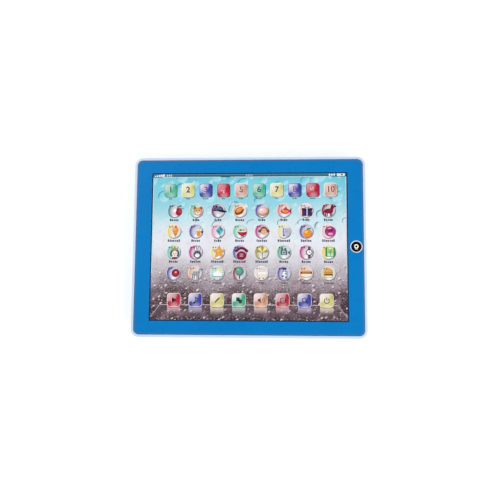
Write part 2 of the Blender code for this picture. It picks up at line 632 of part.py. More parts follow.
# ---- Electronics ---------------------------------------------------------------------------
def make_main_board():
    """The board that speaks and plays, with its components and the membrane's connector."""
    board = make_slab_object("main_board", "board_green", BOARD_WIDTH, BOARD_HEIGHT, 1.0 * MM,
                             BOARD_BOTTOM, BOARD_TOP, (BOARD_X, BOARD_Y))
    holes = bmesh.new()
    for place in BOARD_SCREWS:
        add_cylinder(holes, place, 1.3 * MM, BOARD_BOTTOM - MM, BOARD_TOP + MM, sides=8)
    boolean(board, "main_board_holes_cut", holes, "DIFFERENCE")
    for i, place in enumerate(BOARD_SCREWS):
        make_screw(f"board_screw_{i + 1}", place, 8.6 * MM, 7.5 * MM, 2.0 * MM, 3.0 * MM, 0.9 * MM)

    low = BOARD_TOP + GAP
    blob = bmesh.new()
    profile = [(0, 0), (6.5, 0), (6.2, 0.7), (4.8, 1.5), (2.5, 1.9), (0, 2.0)]
    add_turned(blob, [(r * MM, low + z * MM) for r, z in profile], (-32 * MM, 28 * MM), sides=20)
    make_object("sound_chip", blob, "epoxy_black")

    chip = bmesh.new()
    x, y = (2 * MM, 20 * MM)
    add_box(chip, (x - 2 * MM, y - 2.6 * MM, low), (x + 2 * MM, y + 2.6 * MM, low + 1.6 * MM))
    amplifier = make_object("amplifier_chip", chip, "epoxy_black")
    legs = bmesh.new()
    for side in (-1, 1):
        for i in range(4):
            leg_x = x + side * 2.4 * MM
            leg_y = y + (i - 1.5) * 1.27 * MM
            add_box(legs, (leg_x - 0.7 * MM, leg_y - 0.2 * MM, low + 0.2 * MM),
                    (leg_x + 0.7 * MM, leg_y + 0.2 * MM, low + 0.6 * MM))
    boolean(amplifier, "amplifier_chip_legs", legs, "UNION")

    make_slab_object("crystal", "steel", 11 * MM, 4.6 * MM, 2.2 * MM, low, low + 3.5 * MM,
                     (-12 * MM, 15 * MM))
    for i, (place, radius, height) in enumerate((((8 * MM, 34 * MM), 3.1 * MM, 6.3 * MM),
                                                 ((8 * MM, 26 * MM), 2.5 * MM, 5.0 * MM))):
        can = bmesh.new()
        ease = 0.4 * MM
        profile = [(0, low), (radius, low), (radius, low + height - ease), (radius - ease, low + height)]
        add_turned(can, profile + [(0, low + height)], place, sides=20)
        make_object(f"capacitor_{i + 1}", can, "capacitor_sleeve")

    top = low + 3.2 * MM
    connector = make_box_object("ribbon_connector", "white_plastic",
                                (BOARD_X - 13 * MM, TAIL_Y - 2.5 * MM, low),
                                (BOARD_X + 13 * MM, TAIL_Y + 2.5 * MM, top))
    slot = bmesh.new()
    add_box(slot, (BOARD_X - 11.4 * MM, TAIL_Y - 0.45 * MM, BOARD_TOP + 1.5 * MM),
            (BOARD_X + 11.4 * MM, TAIL_Y + 0.45 * MM, top + MM))
    boolean(connector, "ribbon_connector_slot_cut", slot, "DIFFERENCE")


def make_speaker():
    """A slim 40 mm speaker that faces the grille, its foam gasket and its clamp."""
    centre = (SPEAKER_X, SPEAKER_Y)

    def turned(name, slot, profile, sides=24):
        bm = bmesh.new()
        add_turned(bm, [(r * MM, z * MM) for r, z in profile], centre, sides)
        return make_object(name, bm, slot, origin=(*centre, 0))

    turned("speaker_gasket", "foam", [(16.5, 2.3), (20, 2.3), (20, 3.0), (16.5, 3.0)])
    turned("speaker_frame", "steel", [(0, 8.2), (10.3, 8.0), (16.9, 4.3), (16.9, 3.3), (20, 3.3), (20, 4.3),
                                      (17.6, 4.3), (11, 8.3), (11, 9.0), (0, 9.0)])
    turned("speaker_magnet", "ferrite", [(0, 9.3), (10.6, 9.3), (11, 9.7), (11, 12.9), (10.6, 13.3),
                                         (0, 13.3)])
    turned("speaker_cone", "paper_cone", [(0, 5.9), (3.0, 6.1), (4.3, 6.5), (13.8, 4.3), (15.0, 4.0),
                                          (15.0, 4.5), (14.0, 4.75), (4.6, 6.95), (3.0, 6.6), (0, 6.4)])

    low = SEAT_TOP + GAP
    high = low + 1.4 * MM
    clamp = make_slab_object("speaker_clamp", "grey_plastic", 59 * MM, 8 * MM, 3.5 * MM, low, high, centre)
    disc = bmesh.new()
    add_cylinder(disc, centre, SPEAKER_RADIUS + 1.5 * MM, low, high, sides=32)
    boolean(clamp, "speaker_clamp_disc", disc, "UNION")
    holes = bmesh.new()
    add_cylinder(holes, centre, 18.2 * MM, low - MM, high + MM, sides=32)
    for place in CLAMP_SCREWS:
        add_cylinder(holes, place, 1.3 * MM, low - MM, high + MM, sides=8)
    boolean(clamp, "speaker_clamp_holes_cut", holes, "DIFFERENCE")
    for i, place in enumerate(CLAMP_SCREWS):
        make_screw(f"clamp_screw_{i + 1}", place, high + 1.3 * MM, high + GAP, 2.0 * MM, 1.4 * MM, 0.9 * MM)
    make_lead("speaker_lead_red", "wire_red", [(-53.2, -29.4, 8.3), (-50.5, -24, 10), (-48, -14, 9.6),
                                               (-46, -4, 9.2), (-44, 6, 9.4), (-43, 12, 8.4)])
    make_lead("speaker_lead_black", "wire_black", [(-50.6, -31.5, 8.3), (-47, -26, 10), (-44, -15, 9.6),
                                                   (-42, -4, 9.2), (-40, 6, 9.4), (-39, 12, 8.4)])


# ---- Batteries and their door ----------------------------------------------------------------
def make_batteries():
    """Three AAA cells in series, their springs, contact plates and the two leads to the board."""
    low_end = CONTACT_LOW_Y + CONTACT_THICKNESS / 2 + GAP
    high_end = CONTACT_HIGH_Y - CONTACT_THICKNESS / 2 - GAP
    nub = 0.8 * MM
    can = CELL_LENGTH - nub
    ease = 0.35 * MM
    profile = [(0, 0), (CELL_RADIUS - ease, 0), (CELL_RADIUS, ease), (CELL_RADIUS, can - ease)]
    profile += [(CELL_RADIUS - ease, can), (1.9 * MM, can), (1.9 * MM, CELL_LENGTH), (0, CELL_LENGTH)]
    for i, x in enumerate(CELL_PLACES):
        positive_up = i != 1
        start = high_end - CELL_LENGTH if positive_up else low_end + CELL_LENGTH
        turn = Matrix.Rotation(math.radians(-90 if positive_up else 90), 4, "X")
        cell = bmesh.new()
        add_turned(cell, profile, sides=20, matrix=Matrix.Translation((x, start, CELL_Z)) @ turn)
        make_object(f"battery_{i + 1}", cell, "cell_jacket", origin=(x, start, CELL_Z))

        spring_low = low_end if positive_up else start + GAP
        spring_high = start - GAP if positive_up else high_end
        wire = 0.3 * MM
        turns = 3.5
        coil = []
        for t in np.linspace(0, 1, 29):
            radius = (2.7 - 1.1 * t) * MM
            angle = 2 * math.pi * turns * t
            length = spring_high - spring_low - 2 * wire
            y = spring_low + wire + t * length if positive_up else spring_high - wire - t * length
            coil.append((x + radius * math.cos(angle), y, CELL_Z + radius * math.sin(angle)))
        spring = bmesh.new()
        add_tube(spring, coil, wire, sides=4)
        make_object(f"battery_spring_{i + 1}", spring, "steel")

    first, second, third = CELL_PLACES
    reach = 4.4 * MM
    low_x = BAY_X - BAY_WIDTH / 2
    high_x = BAY_X + BAY_WIDTH / 2

    def contact(name, y, bottom, start_x, end_x, tag_x=None):
        top = 11.5 * MM
        outline = [(start_x, bottom), (end_x, bottom), (end_x, top), (start_x, top)]
        if tag_x is not None and tag_x > end_x:
            outline[2:2] = [(end_x, TAG_LOW), (tag_x, TAG_LOW), (tag_x, TAG_HIGH), (end_x, TAG_HIGH)]
        elif tag_x is not None:
            outline += [(start_x, TAG_HIGH), (tag_x, TAG_HIGH), (tag_x, TAG_LOW), (start_x, TAG_LOW)]
        bm = bmesh.new()
        add_prism(bm, outline, "Y", y - CONTACT_THICKNESS / 2, y + CONTACT_THICKNESS / 2)
        make_object(name, bm, "steel")

    contact("contact_positive", CONTACT_HIGH_Y, 3 * MM, first - reach, first + reach, low_x - 3.7 * MM)
    contact("contact_bridge_upper", CONTACT_HIGH_Y, 3 * MM, second - reach, third + reach)
    contact("contact_bridge_lower", CONTACT_LOW_Y, 5 * MM, first - reach, second + reach)
    contact("contact_negative", CONTACT_LOW_Y, 5 * MM, third - reach, third + reach, high_x + 3.7 * MM)
    make_lead("battery_lead_red", "wire_red", [(30, 10.7, 9), (27, 12, 9.2), (22, 16.5, 9.5), (16, 19, 9.3),
                                               (10, 19.5, 8.4)])
    make_lead("battery_lead_black", "wire_black", [(74, -40.1, 9), (76.5, -41.5, 8.5), (76, -45.5, 7),
                                                   (70, -47.5, 6), (50, -48, 6), (32, -47, 6), (27, -42, 6),
                                                   (26, -20, 6), (26, -2, 6.5), (23, 9, 8.2),
                                                   (18, 13.5, 9.4), (11, 15.5, 8.4)])


def make_battery_door():
    """The door, hooked in by two tabs at its low edge and held by one captive screw."""
    width = BAY_WIDTH + 2 * DOOR_LEDGE - 2 * GAP
    height = BAY_HEIGHT + 2 * DOOR_LEDGE - 2 * GAP
    bm = bmesh.new()
    add_slab(bm, width, height, 1.3 * MM, DOOR_OUTSIDE, DOOR_INSIDE, (BAY_X, BAY_MIDDLE_Y))
    door = make_object("battery_door", bm, "white_plastic", origin=DOOR_AXIS)
    extras = bmesh.new()
    root = DOOR_INSIDE - 0.5 * MM
    add_cylinder(extras, DOOR_SCREW, 4.6 * MM, root, DOOR_BOSS_TOP, sides=24)
    near = BAY_LOW_Y - DOOR_LEDGE + GAP
    hook = [(near, root), (near + 1.2 * MM, root), (near + 1.2 * MM, 3.5 * MM), (near - 2.3 * MM, 3.5 * MM)]
    hook += [(near - 2.3 * MM, FLOOR + GAP), (near, FLOOR + GAP)]
    for middle in TAB_PLACES:
        add_prism(extras, hook, "X", middle - TAB_WIDTH / 2, middle + TAB_WIDTH / 2)
    boolean(door, "battery_door_boss_and_tabs", extras, "UNION")
    hole = bmesh.new()
    profile = [(0, -MM), (3.1 * MM, -MM), (3.1 * MM, 2.3 * MM), (1.7 * MM, 2.3 * MM)]
    profile += [(1.7 * MM, DOOR_BOSS_TOP + MM), (0, DOOR_BOSS_TOP + MM)]
    add_turned(hole, profile, DOOR_SCREW, sides=24)
    boolean(door, "battery_door_screw_hole_cut", hole, "DIFFERENCE")

    make_screw("battery_door_screw", DOOR_SCREW, 0.6 * MM, 2.0 * MM, 2.7 * MM, DOOR_SCREW_TIP, 1.3 * MM,
               recess=True)
    low = DOOR_BOSS_TOP + GAP + SCREW_TURNS * THREAD_PITCH
    keeper = bmesh.new()
    profile = [(1.6 * MM, low), (2.4 * MM, low), (2.4 * MM, low + 0.5 * MM), (1.6 * MM, low + 0.5 * MM)]
    add_turned(keeper, profile, DOOR_SCREW, sides=16)
    make_object("screw_keeper", keeper, "rubber", origin=(*DOOR_SCREW, low))


def main():
    clear_scene()
    make_rear_case()
    make_front_bezel()
    make_panel_stack()
    make_membrane_tail()
    make_home_button()
    make_main_board()
    make_speaker()
    make_batteries()
    make_battery_door()
    for i, place in enumerate(CASE_SCREWS):
        make_screw(f"case_screw_{i + 1}", place, 2.7 * MM, 4.2 * MM, 2.6 * MM, 14.0 * MM, 1.3 * MM,
                   recess=True)


main()
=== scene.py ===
"""Looks of the toy learning tablet: the finish of every moulded, metal and electronic part, and the ink
of the printed picture sheet with its number keys, picture keys, function keys and water drops."""

import math

import bpy
import bmesh
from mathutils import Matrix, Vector


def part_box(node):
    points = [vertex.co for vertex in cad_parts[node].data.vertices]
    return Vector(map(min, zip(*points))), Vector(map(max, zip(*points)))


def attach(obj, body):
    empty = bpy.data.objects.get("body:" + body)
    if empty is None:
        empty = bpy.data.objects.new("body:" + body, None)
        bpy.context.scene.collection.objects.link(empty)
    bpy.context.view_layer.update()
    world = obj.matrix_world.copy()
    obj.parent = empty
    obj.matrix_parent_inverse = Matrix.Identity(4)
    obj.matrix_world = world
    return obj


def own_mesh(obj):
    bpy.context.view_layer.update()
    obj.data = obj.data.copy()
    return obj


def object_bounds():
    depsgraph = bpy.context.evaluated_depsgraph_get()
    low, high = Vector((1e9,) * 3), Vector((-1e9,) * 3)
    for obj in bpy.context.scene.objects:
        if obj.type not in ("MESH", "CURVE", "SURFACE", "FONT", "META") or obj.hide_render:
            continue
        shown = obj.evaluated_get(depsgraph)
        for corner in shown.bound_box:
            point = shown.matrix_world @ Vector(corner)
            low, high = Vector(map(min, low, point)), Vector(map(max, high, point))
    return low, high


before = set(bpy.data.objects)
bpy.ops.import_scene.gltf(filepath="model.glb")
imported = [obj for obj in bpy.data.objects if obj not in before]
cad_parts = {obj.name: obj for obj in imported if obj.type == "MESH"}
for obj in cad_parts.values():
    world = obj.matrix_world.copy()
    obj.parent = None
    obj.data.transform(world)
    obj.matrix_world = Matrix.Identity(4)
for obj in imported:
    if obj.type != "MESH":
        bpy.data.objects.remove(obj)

MM = 0.001
CAD_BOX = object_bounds()

BEZEL_LOW, BEZEL_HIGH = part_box("front_bezel")
CAP_LOW, CAP_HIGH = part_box("home_button_cap")
SHEET_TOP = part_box("picture_panel")[1].z
INK = 0.014 * MM                    # how much higher each later colour of ink lies
FIGURE_SHARE = 0.72                 # height of a figure, as a share of its font's size
WINDOW = (102.8 * MM, 77.8 * MM)    # half the width and height of the sheet that shows

NUMBER_KEYS = dict(x=1.2 * MM, y=59.3 * MM, pitch=18.69 * MM, wide=13.4 * MM, high=14.2 * MM)
PICTURE_KEYS = dict(x=2.1 * MM, y=37.6 * MM, pitch=23.0 * MM, row=21.9 * MM, radius=7.6 * MM)
FUNCTION_KEYS = dict(x=1.6 * MM, y=-56.1 * MM, pitch=22.5 * MM, wide=14.2 * MM)
DOCK_TOP, DOCK_LOW = -61.0 * MM, -73.6 * MM
DOCK_HALF_TOP, DOCK_HALF_LOW = 91.6 * MM, 101.4 * MM
STATUS_LOW = 73.2 * MM

PALETTE = {
    "white": "#FBFAFA", "cream": "#F6EBDD", "blush": "#F7C7C8", "pink": "#EE9FB9", "magenta": "#C4358E",
    "plum": "#7C1F66", "violet": "#6656B5", "navy": "#2B2C66", "sky": "#A9D8EC",
    "cyan": "#5FC3D6", "teal": "#2F8E99", "aqua": "#BFE6E4", "mint": "#7CCFAE", "green": "#4FB286",
    "leaf": "#3C8F4E", "olive": "#A99B4D", "yellow": "#F2D863", "lemon": "#F4EC9C", "orange": "#EE9440",
    "peach": "#F1B98E", "tan": "#D9A873", "rust": "#A65A2C", "brown": "#74452C", "red": "#D23443",
    "crimson": "#97203D", "grey": "#A7A9B4", "slate": "#5D6478", "silver": "#D5D8DF", "ink": "#23202C",
    "maroon": "#7B1A3E", "lilac": "#C9C6E2", "amber": "#EBAE55", "lime": "#C4E088",
    "key green": "#4AAF8E", "key yellow": "#DAD083", "key blue": "#4149A8", "key red": "#C02C47",
    "key orange": "#DA9C78", "salmon": "#E48A76", "dusk": "#5B4FA6", "straw": "#EFE3A0",
}

# The sheet's shades and how far up each is, as a share of the window's height.
SHEET_HEIGHTS = [
    (0.00, "#47343A"), (0.10, "#49363B"), (0.17, "#5C494E"), (0.23, "#94878E"), (0.31, "#BBB2B9"),
    (0.38, "#D1CDD4"), (0.46, "#E6E8EE"), (0.56, "#EBEFF6"), (0.66, "#D6EBF1"), (0.73, "#B6E2EC"),
    (0.80, "#98D8E6"), (0.90, "#82D4E5"), (1.00, "#70C8DD"),
]


def add_object(name, data):
    """A new object of that data, in the scene."""
    made = bpy.data.objects.new(name, data)
    bpy.context.scene.collection.objects.link(made)
    return made


# ---- colours and node materials ----------------------------------------------------------------------

def colour(code):
    """A colour code such as #4F86C2 as the linear colour that shaders take."""
    shades = [int(code[i:i + 2], 16) / 255 for i in (1, 3, 5)]
    return tuple(s / 12.92 if s <= 0.04045 else ((s + 0.055) / 1.055) ** 2.4 for s in shades) + (1.0,)


def tint(name):
    return colour(PALETTE[name])


SHEET_SHADES = [(share, colour(code)) for share, code in SHEET_HEIGHTS]


class Surface:
    """One node material. Each method adds a node and gives back the output that the next one takes."""

    def __init__(self, name, roughness=0.5, metallic=0.0, specular=0.5, coat=0.0):
        self.material = bpy.data.materials.new(name)
        self.material.use_nodes = True
        self.tree = self.material.node_tree
        self.shader = self.tree.nodes["Principled BSDF"]
        plain = {"Roughness": roughness, "Metallic": metallic, "Specular IOR Level": specular}
        plain.update({"Coat Weight": coat, "Coat Roughness": 0.12})
        for socket, value in plain.items():
            self.shader.inputs[socket].default_value = value
        self.place = self.node("TexCoord").outputs["Object"]

    def node(self, kind, inputs=(), **settings):
        made = self.tree.nodes.new("ShaderNode" + kind)
        for key, value in settings.items():
            setattr(made, key, value)
        for key, value in dict(inputs).items():
            self.feed(made.inputs[key], value)
        return made

    def feed(self, socket, value):
        if isinstance(value, bpy.types.NodeSocket):
            self.tree.links.new(value, socket)
        else:
            socket.default_value = value

    def maths(self, operation, a, b=0.0, clamp=False):
        return self.node("Math", {0: a, 1: b}, operation=operation, use_clamp=clamp).outputs[0]

    def times(self, a, b):
        return self.maths("MULTIPLY", a, b)

    def vector(self, operation, a, b=(0.0, 0.0, 0.0)):
        made = self.node("VectorMath", {0: a, 1: b}, operation=operation)
        return made.outputs["Value" if operation in ("LENGTH", "DOT_PRODUCT") else "Vector"]

    def axes(self, vector):
        parts = self.node("SeparateXYZ", {0: vector})
        return [parts.outputs[i] for i in range(3)]

    def spread(self, value, low, high, to_low=0.0, to_high=1.0, smooth=True):
        """value, eased from to_low where it is low to to_high where it is high."""
        places = {"Value": value, "From Min": low, "From Max": high, "To Min": to_low, "To Max": to_high}
        ease = "SMOOTHSTEP" if smooth else "LINEAR"
        return self.node("MapRange", places, interpolation_type=ease).outputs[0]

    def mix(self, share, a, b, blend="MIX"):
        made = self.node("Mix", data_type="RGBA", blend_type=blend)
        for index, value in ((0, share), (6, a), (7, b)):
            self.feed(made.inputs[index], value)
        return made.outputs[2]

    def ramp(self, value, stops, ease="LINEAR"):
        made = self.node("ValToRGB", {"Fac": value})
        made.color_ramp.interpolation = ease
        elements = made.color_ramp.elements
        while len(elements) < len(stops):
            elements.new(0.5)
        for element, (position, shade) in zip(elements, stops):
            element.position = position
            element.color = shade
        return made.outputs["Color"]

    def noise(self, size, detail=2.0, place=None, roughness=0.5):
        """Noise from 0 to 1 whose features are about size metres across."""
        asked = {"Vector": place or self.place, "Scale": 1 / size, "Detail": detail, "Roughness": roughness}
        return self.node("TexNoise", asked).outputs[0]

    def cells(self, size, place=None, feature="F1", kind="3D"):
        asked = {"Vector": place or self.place, "Scale": 1 / size}
        return self.node("TexVoronoi", asked, feature=feature, voronoi_dimensions=kind)

    def paint(self, shade):
        self.feed(self.shader.inputs["Base Color"], shade)

    def dull(self, low, high, by):
        """Roughness from low to high, as the pattern goes from 0 to 1."""
        self.feed(self.shader.inputs["Roughness"], self.spread(by, 0.25, 0.75, low, high, smooth=False))

    def emboss(self, height, depth, strength=1.0):
        """A fine relief of that depth in metres."""
        asked = {"Strength": strength, "Distance": depth, "Height": height}
        self.feed(self.shader.inputs["Normal"], self.node("Bump", asked).outputs["Normal"])


def darker(shade, share):
    return tuple(value * share for value in shade[:3]) + (1.0,)


def moulded(name, shade, roughness, grain, relief, specular=0.5, coat=0.0, contrast=0.1):
    """Moulded plastic: faint flow marks, specks of pigment and the grain of the mould."""
    surface = Surface(name, roughness, specular=specular, coat=coat)
    flow = surface.noise(45 * MM, 3.0)
    pigment = surface.noise(0.5 * MM, 2.0)
    cast = surface.mix(surface.spread(flow, 0.3, 0.7), darker(shade, 1 - contrast), shade)
    specks = surface.spread(pigment, 0.62, 0.78, 0.0, 0.35)
    surface.paint(surface.mix(specks, cast, darker(shade, 1 - 2.2 * contrast)))
    texture = surface.noise(grain, 3.0)
    surface.dull(roughness - 0.05, roughness + 0.07, surface.noise(6 * MM, 4.0))
    surface.emboss(texture, relief)
    return surface.material


def metal(name, shade, roughness, stretch=(1.0, 1.0, 12.0), tarnish=0.25, metallic=1.0):
    """Plated metal: fine drawing lines, darker where the plating is thin."""
    surface = Surface(name, roughness, metallic)
    lines = surface.noise(0.35 * MM, 4.0, surface.vector("MULTIPLY", surface.place, stretch))
    patches = surface.noise(3 * MM, 3.0)
    wear_and_edge_shade = surface.spread(patches, 0.45, 0.7, 0.0, tarnish)
    surface.paint(surface.mix(wear_and_edge_shade, shade, darker(shade, 0.55)))
    surface.dull(roughness - 0.06, roughness + 0.1, lines)
    surface.emboss(lines, 0.006 * MM)
    return surface.material


def milky_film(name, shade):
    """Membrane film with printed silver tracks in two directions."""
    surface = Surface(name, 0.32, specular=0.45)
    x, y, _ = surface.axes(surface.place)
    across = surface.maths("PINGPONG", x, 5.75 * MM)
    along = surface.maths("PINGPONG", y, 5.5 * MM)
    nearest = surface.maths("MINIMUM", across, along)
    tracks = surface.spread(nearest, 0.45 * MM, 0.3 * MM)
    haze = surface.mix(surface.noise(12 * MM, 3.0), darker(shade, 0.9), shade)
    surface.paint(surface.mix(tracks, haze, tint("grey")))
    surface.dull(0.26, 0.4, surface.noise(2 * MM, 3.0))
    surface.emboss(tracks, 0.01 * MM)
    return surface.material


def circuit_board(name):
    """Green mask over copper tracks, with tinned pads."""
    surface = Surface(name, 0.35, specular=0.5)
    x, y, _ = surface.axes(surface.place)
    bend = surface.noise(7 * MM, 0.0)
    path = surface.maths("ADD", x, surface.spread(bend, 0.45, 0.55, 0.0, 3 * MM))
    tracks = surface.spread(surface.maths("PINGPONG", path, 0.65 * MM), 0.18 * MM, 0.26 * MM)
    runs = surface.spread(surface.maths("PINGPONG", y, 9 * MM), 1.6 * MM, 1.7 * MM)
    copper = surface.times(tracks, runs)
    mask = surface.mix(copper, colour("#0C4B33"), colour("#1E7A4E"))
    pads = surface.cells(3.2 * MM, kind="2D")
    tinned = surface.spread(pads.outputs["Distance"], 0.2, 0.16)
    surface.paint(surface.mix(tinned, mask, colour("#C9CCD2")))
    surface.feed(surface.shader.inputs["Metallic"], tinned)
    surface.dull(0.3, 0.42, surface.noise(1 * MM, 2.0))
    surface.emboss(surface.maths("ADD", copper, tinned), 0.03 * MM)
    return surface.material


def porous(name, shade, pore, depth, roughness=0.85):
    """Foam, sintered ferrite or paper: a mesh of pores or fibres, each its own size."""
    surface = Surface(name, roughness, specular=0.2)
    pores = surface.cells(pore)
    fibres = surface.noise(pore * 2.2, 5.0, surface.vector("MULTIPLY", surface.place, (1.0, 0.35, 1.0)))
    hollow = surface.spread(pores.outputs["Distance"], 0.1, 0.55)
    # painted shade: each pore is darker towards its middle, as shade in its hollow
    tone = surface.mix(hollow, darker(shade, 0.72), shade)
    surface.paint(surface.mix(surface.spread(fibres, 0.35, 0.65, 0.0, 0.5), tone, darker(shade, 0.85)))
    surface.dull(roughness - 0.1, min(1.0, roughness + 0.1), fibres)
    surface.emboss(hollow, depth)
    return surface.material


def wrapped_cell(name):
    """A cell's shrink jacket: a dark body, a coppery band at one end, and bare steel ends."""
    surface = Surface(name, 0.3, specular=0.5)
    length = surface.axes(surface.node("TexCoord").outputs["Generated"])[1]
    body = surface.mix(surface.noise(9 * MM, 3.0), colour("#1A2A52"), colour("#243A6C"))
    banded = surface.mix(surface.spread(length, 0.70, 0.705), body, colour("#B4733B"))
    ends = surface.maths("ABSOLUTE", surface.maths("SUBTRACT", length, 0.49))
    bare = surface.spread(ends, 0.455, 0.46)
    surface.paint(surface.mix(bare, banded, colour("#B9BCC2")))
    surface.feed(surface.shader.inputs["Metallic"], bare)
    surface.dull(0.24, 0.36, surface.noise(1.5 * MM, 3.0))
    surface.emboss(surface.noise(4 * MM, 1.0), 0.02 * MM)
    return surface.material


def water_drops(surface, ground, size, radii, look, place, share, wobble=0.0, shaded=(-0.6, 0.8, 0.0)):
    """Drops of water painted on the ground, at most one in each cell: their edge is dark on the shaded
    side, and they are paler towards the other, as a drop bends the light that falls on it."""
    dark, pale, edge_from, edge_strength, glow_strength = look
    if wobble:
        drift = surface.node("TexNoise", {"Vector": place, "Scale": 1.6 / size, "Detail": 1.0}).outputs[1]
        centred = surface.vector("SUBTRACT", drift, (0.5, 0.5, 0.5))
        place = surface.vector("ADD", place, surface.vector("MULTIPLY", centred, (wobble, wobble, 0.0)))
    cell = surface.cells(size, place, kind="2D")
    chance, girth, _ = surface.axes(cell.outputs["Color"])
    offset = surface.vector("SUBTRACT", place, cell.outputs["Position"])
    offset = surface.vector("MULTIPLY", offset, (1.0, 1.0, 0.0))
    radius = surface.spread(girth, 0.0, 1.0, radii[0], radii[1], smooth=False)
    reach = surface.maths("DIVIDE", surface.vector("LENGTH", offset), radius)
    slope = surface.maths("DIVIDE", surface.vector("DOT_PRODUCT", offset, shaded), radius)
    there = surface.times(surface.spread(reach, 1.0, 0.9), surface.maths("LESS_THAN", chance, share))
    glow = surface.times(surface.spread(slope, 0.6, -0.7), glow_strength)
    body = surface.mix(glow, ground, pale)
    edge = surface.times(surface.spread(reach, edge_from, 0.95), surface.spread(slope, 0.0, 0.6))
    body = surface.mix(surface.times(edge, edge_strength), body, dark)
    return surface.mix(there, ground, body)


def picture_sheet(name):
    """The printed sheet: wet glass, aqua at the top, pale in the middle and dusky brown at the bottom."""
    surface = Surface(name, 0.28, specular=0.3)
    x, y, _ = surface.axes(surface.place)
    mottle = surface.noise(26 * MM, 4.0)
    sway = surface.maths("ADD", y, surface.spread(mottle, 0.3, 0.7, -5 * MM, 5 * MM))
    height = surface.spread(sway, -WINDOW[1], WINDOW[1], smooth=False)
    ground = surface.ramp(height, SHEET_SHADES)
    grain = surface.noise(0.9 * MM, 3.0)
    ground = surface.mix(surface.spread(grain, 0.3, 0.7, 0.0, 0.12), ground, colour("#4A4450"))
    mist = surface.noise(1.7 * MM, 3.0, surface.vector("ADD", surface.place, (0.1, 0.2, 0.0)))
    lower = surface.spread(height, 0.46, 0.28)
    for low, high, shade in ((0.52, 0.3, "#241A1D"), (0.52, 0.72, "#BDB0B4")):
        specks = surface.times(surface.spread(mist, low, high, 0.0, 0.55), lower)
        ground = surface.mix(specks, ground, colour(shade))
    blush = surface.spread(surface.noise(9 * MM, 3.0, surface.vector("ADD", surface.place, (0.3, 0.1, 0.0))),
                           0.45, 0.75, 0.0, 0.3)
    ground = surface.mix(surface.times(blush, surface.spread(height, 0.9, 0.6)), ground,
                         colour("#D9BCCB"))

    upper = surface.spread(height, 0.52, 0.66)
    big = (colour("#0F86A2"), colour("#BFEAF4"), 0.66, 1.0, 0.55)
    wet = water_drops(surface, ground, 21 * MM, (4 * MM, 9 * MM), big, surface.place, 0.8, 7 * MM)
    ground = surface.mix(upper, ground, wet)
    middle = (colour("#5F9AA6"), colour("#F4F5F8"), 0.7, 0.6, 0.5)
    moved = surface.vector("ADD", surface.place, (31 * MM, 17 * MM, 0.0))
    wet = water_drops(surface, ground, 11 * MM, (1.5 * MM, 4.2 * MM), middle, moved, 0.5, 3 * MM)
    ground = surface.mix(surface.times(upper, 0.8), ground, wet)
    beads = (colour("#120A0D"), colour("#F2E2E6"), 0.35, 0.95, 0.85)
    for size, share, shift in ((3.4 * MM, 0.3, 5 * MM), (6.6 * MM, 0.5, 0.0)):
        moved = surface.vector("ADD", surface.place, (shift, shift, 0.0))
        wet = water_drops(surface, ground, size, (0.13 * size, 0.28 * size), beads, moved, share,
                          0.08 * size, (0.55, -0.83, 0.0))
        ground = surface.mix(lower, ground, wet)

    ground = surface.mix(*dock_glass(surface, ground, x, y))
    surface.paint(ground)
    surface.dull(0.22, 0.34, surface.noise(3 * MM, 3.0))
    surface.emboss(surface.noise(0.25 * MM, 2.0), 0.003 * MM)
    return surface.material


def dock_glass(surface, ground, x, y):
    """Where the glass shelf is, what is under it, and its own shade with the keys mirrored in it."""
    below = surface.maths("SUBTRACT", DOCK_TOP, y)
    lean = (DOCK_HALF_LOW - DOCK_HALF_TOP) / (DOCK_TOP - DOCK_LOW)
    reach = surface.maths("SUBTRACT", surface.maths("ABSOLUTE", x), surface.times(below, lean))
    inside = surface.times(surface.maths("GREATER_THAN", below, 0.0),
                           surface.maths("LESS_THAN", reach, DOCK_HALF_TOP))
    inside = surface.times(inside, surface.maths("GREATER_THAN", y, DOCK_LOW))
    glass = surface.mix(0.4, ground, colour("#6A5962"))
    row = FUNCTION_KEYS["pitch"] * len(FUNCTIONS)
    along = surface.spread(x, FUNCTION_KEYS["x"] - row / 2, FUNCTION_KEYS["x"] + row / 2, smooth=False)
    shades = [(i / len(FUNCTIONS), tint(base)) for i, (_, base) in enumerate(FUNCTIONS)]
    key_shade = surface.ramp(along, shades, "CONSTANT")
    phase = surface.maths("FRACT", surface.times(along, len(FUNCTIONS)))
    beside = surface.maths("ABSOLUTE", surface.maths("SUBTRACT", phase, 0.5))
    half = FUNCTION_KEYS["wide"] / FUNCTION_KEYS["pitch"] / 2
    mirrored = surface.spread(beside, half, half - 0.03)
    faded = surface.spread(y, -71.5 * MM, -63.8 * MM, 0.0, 0.78)
    reflected = surface.mix(0.42, colour("#EAD9E2"), key_shade)
    return inside, ground, surface.mix(surface.times(mirrored, faded), glass, reflected)


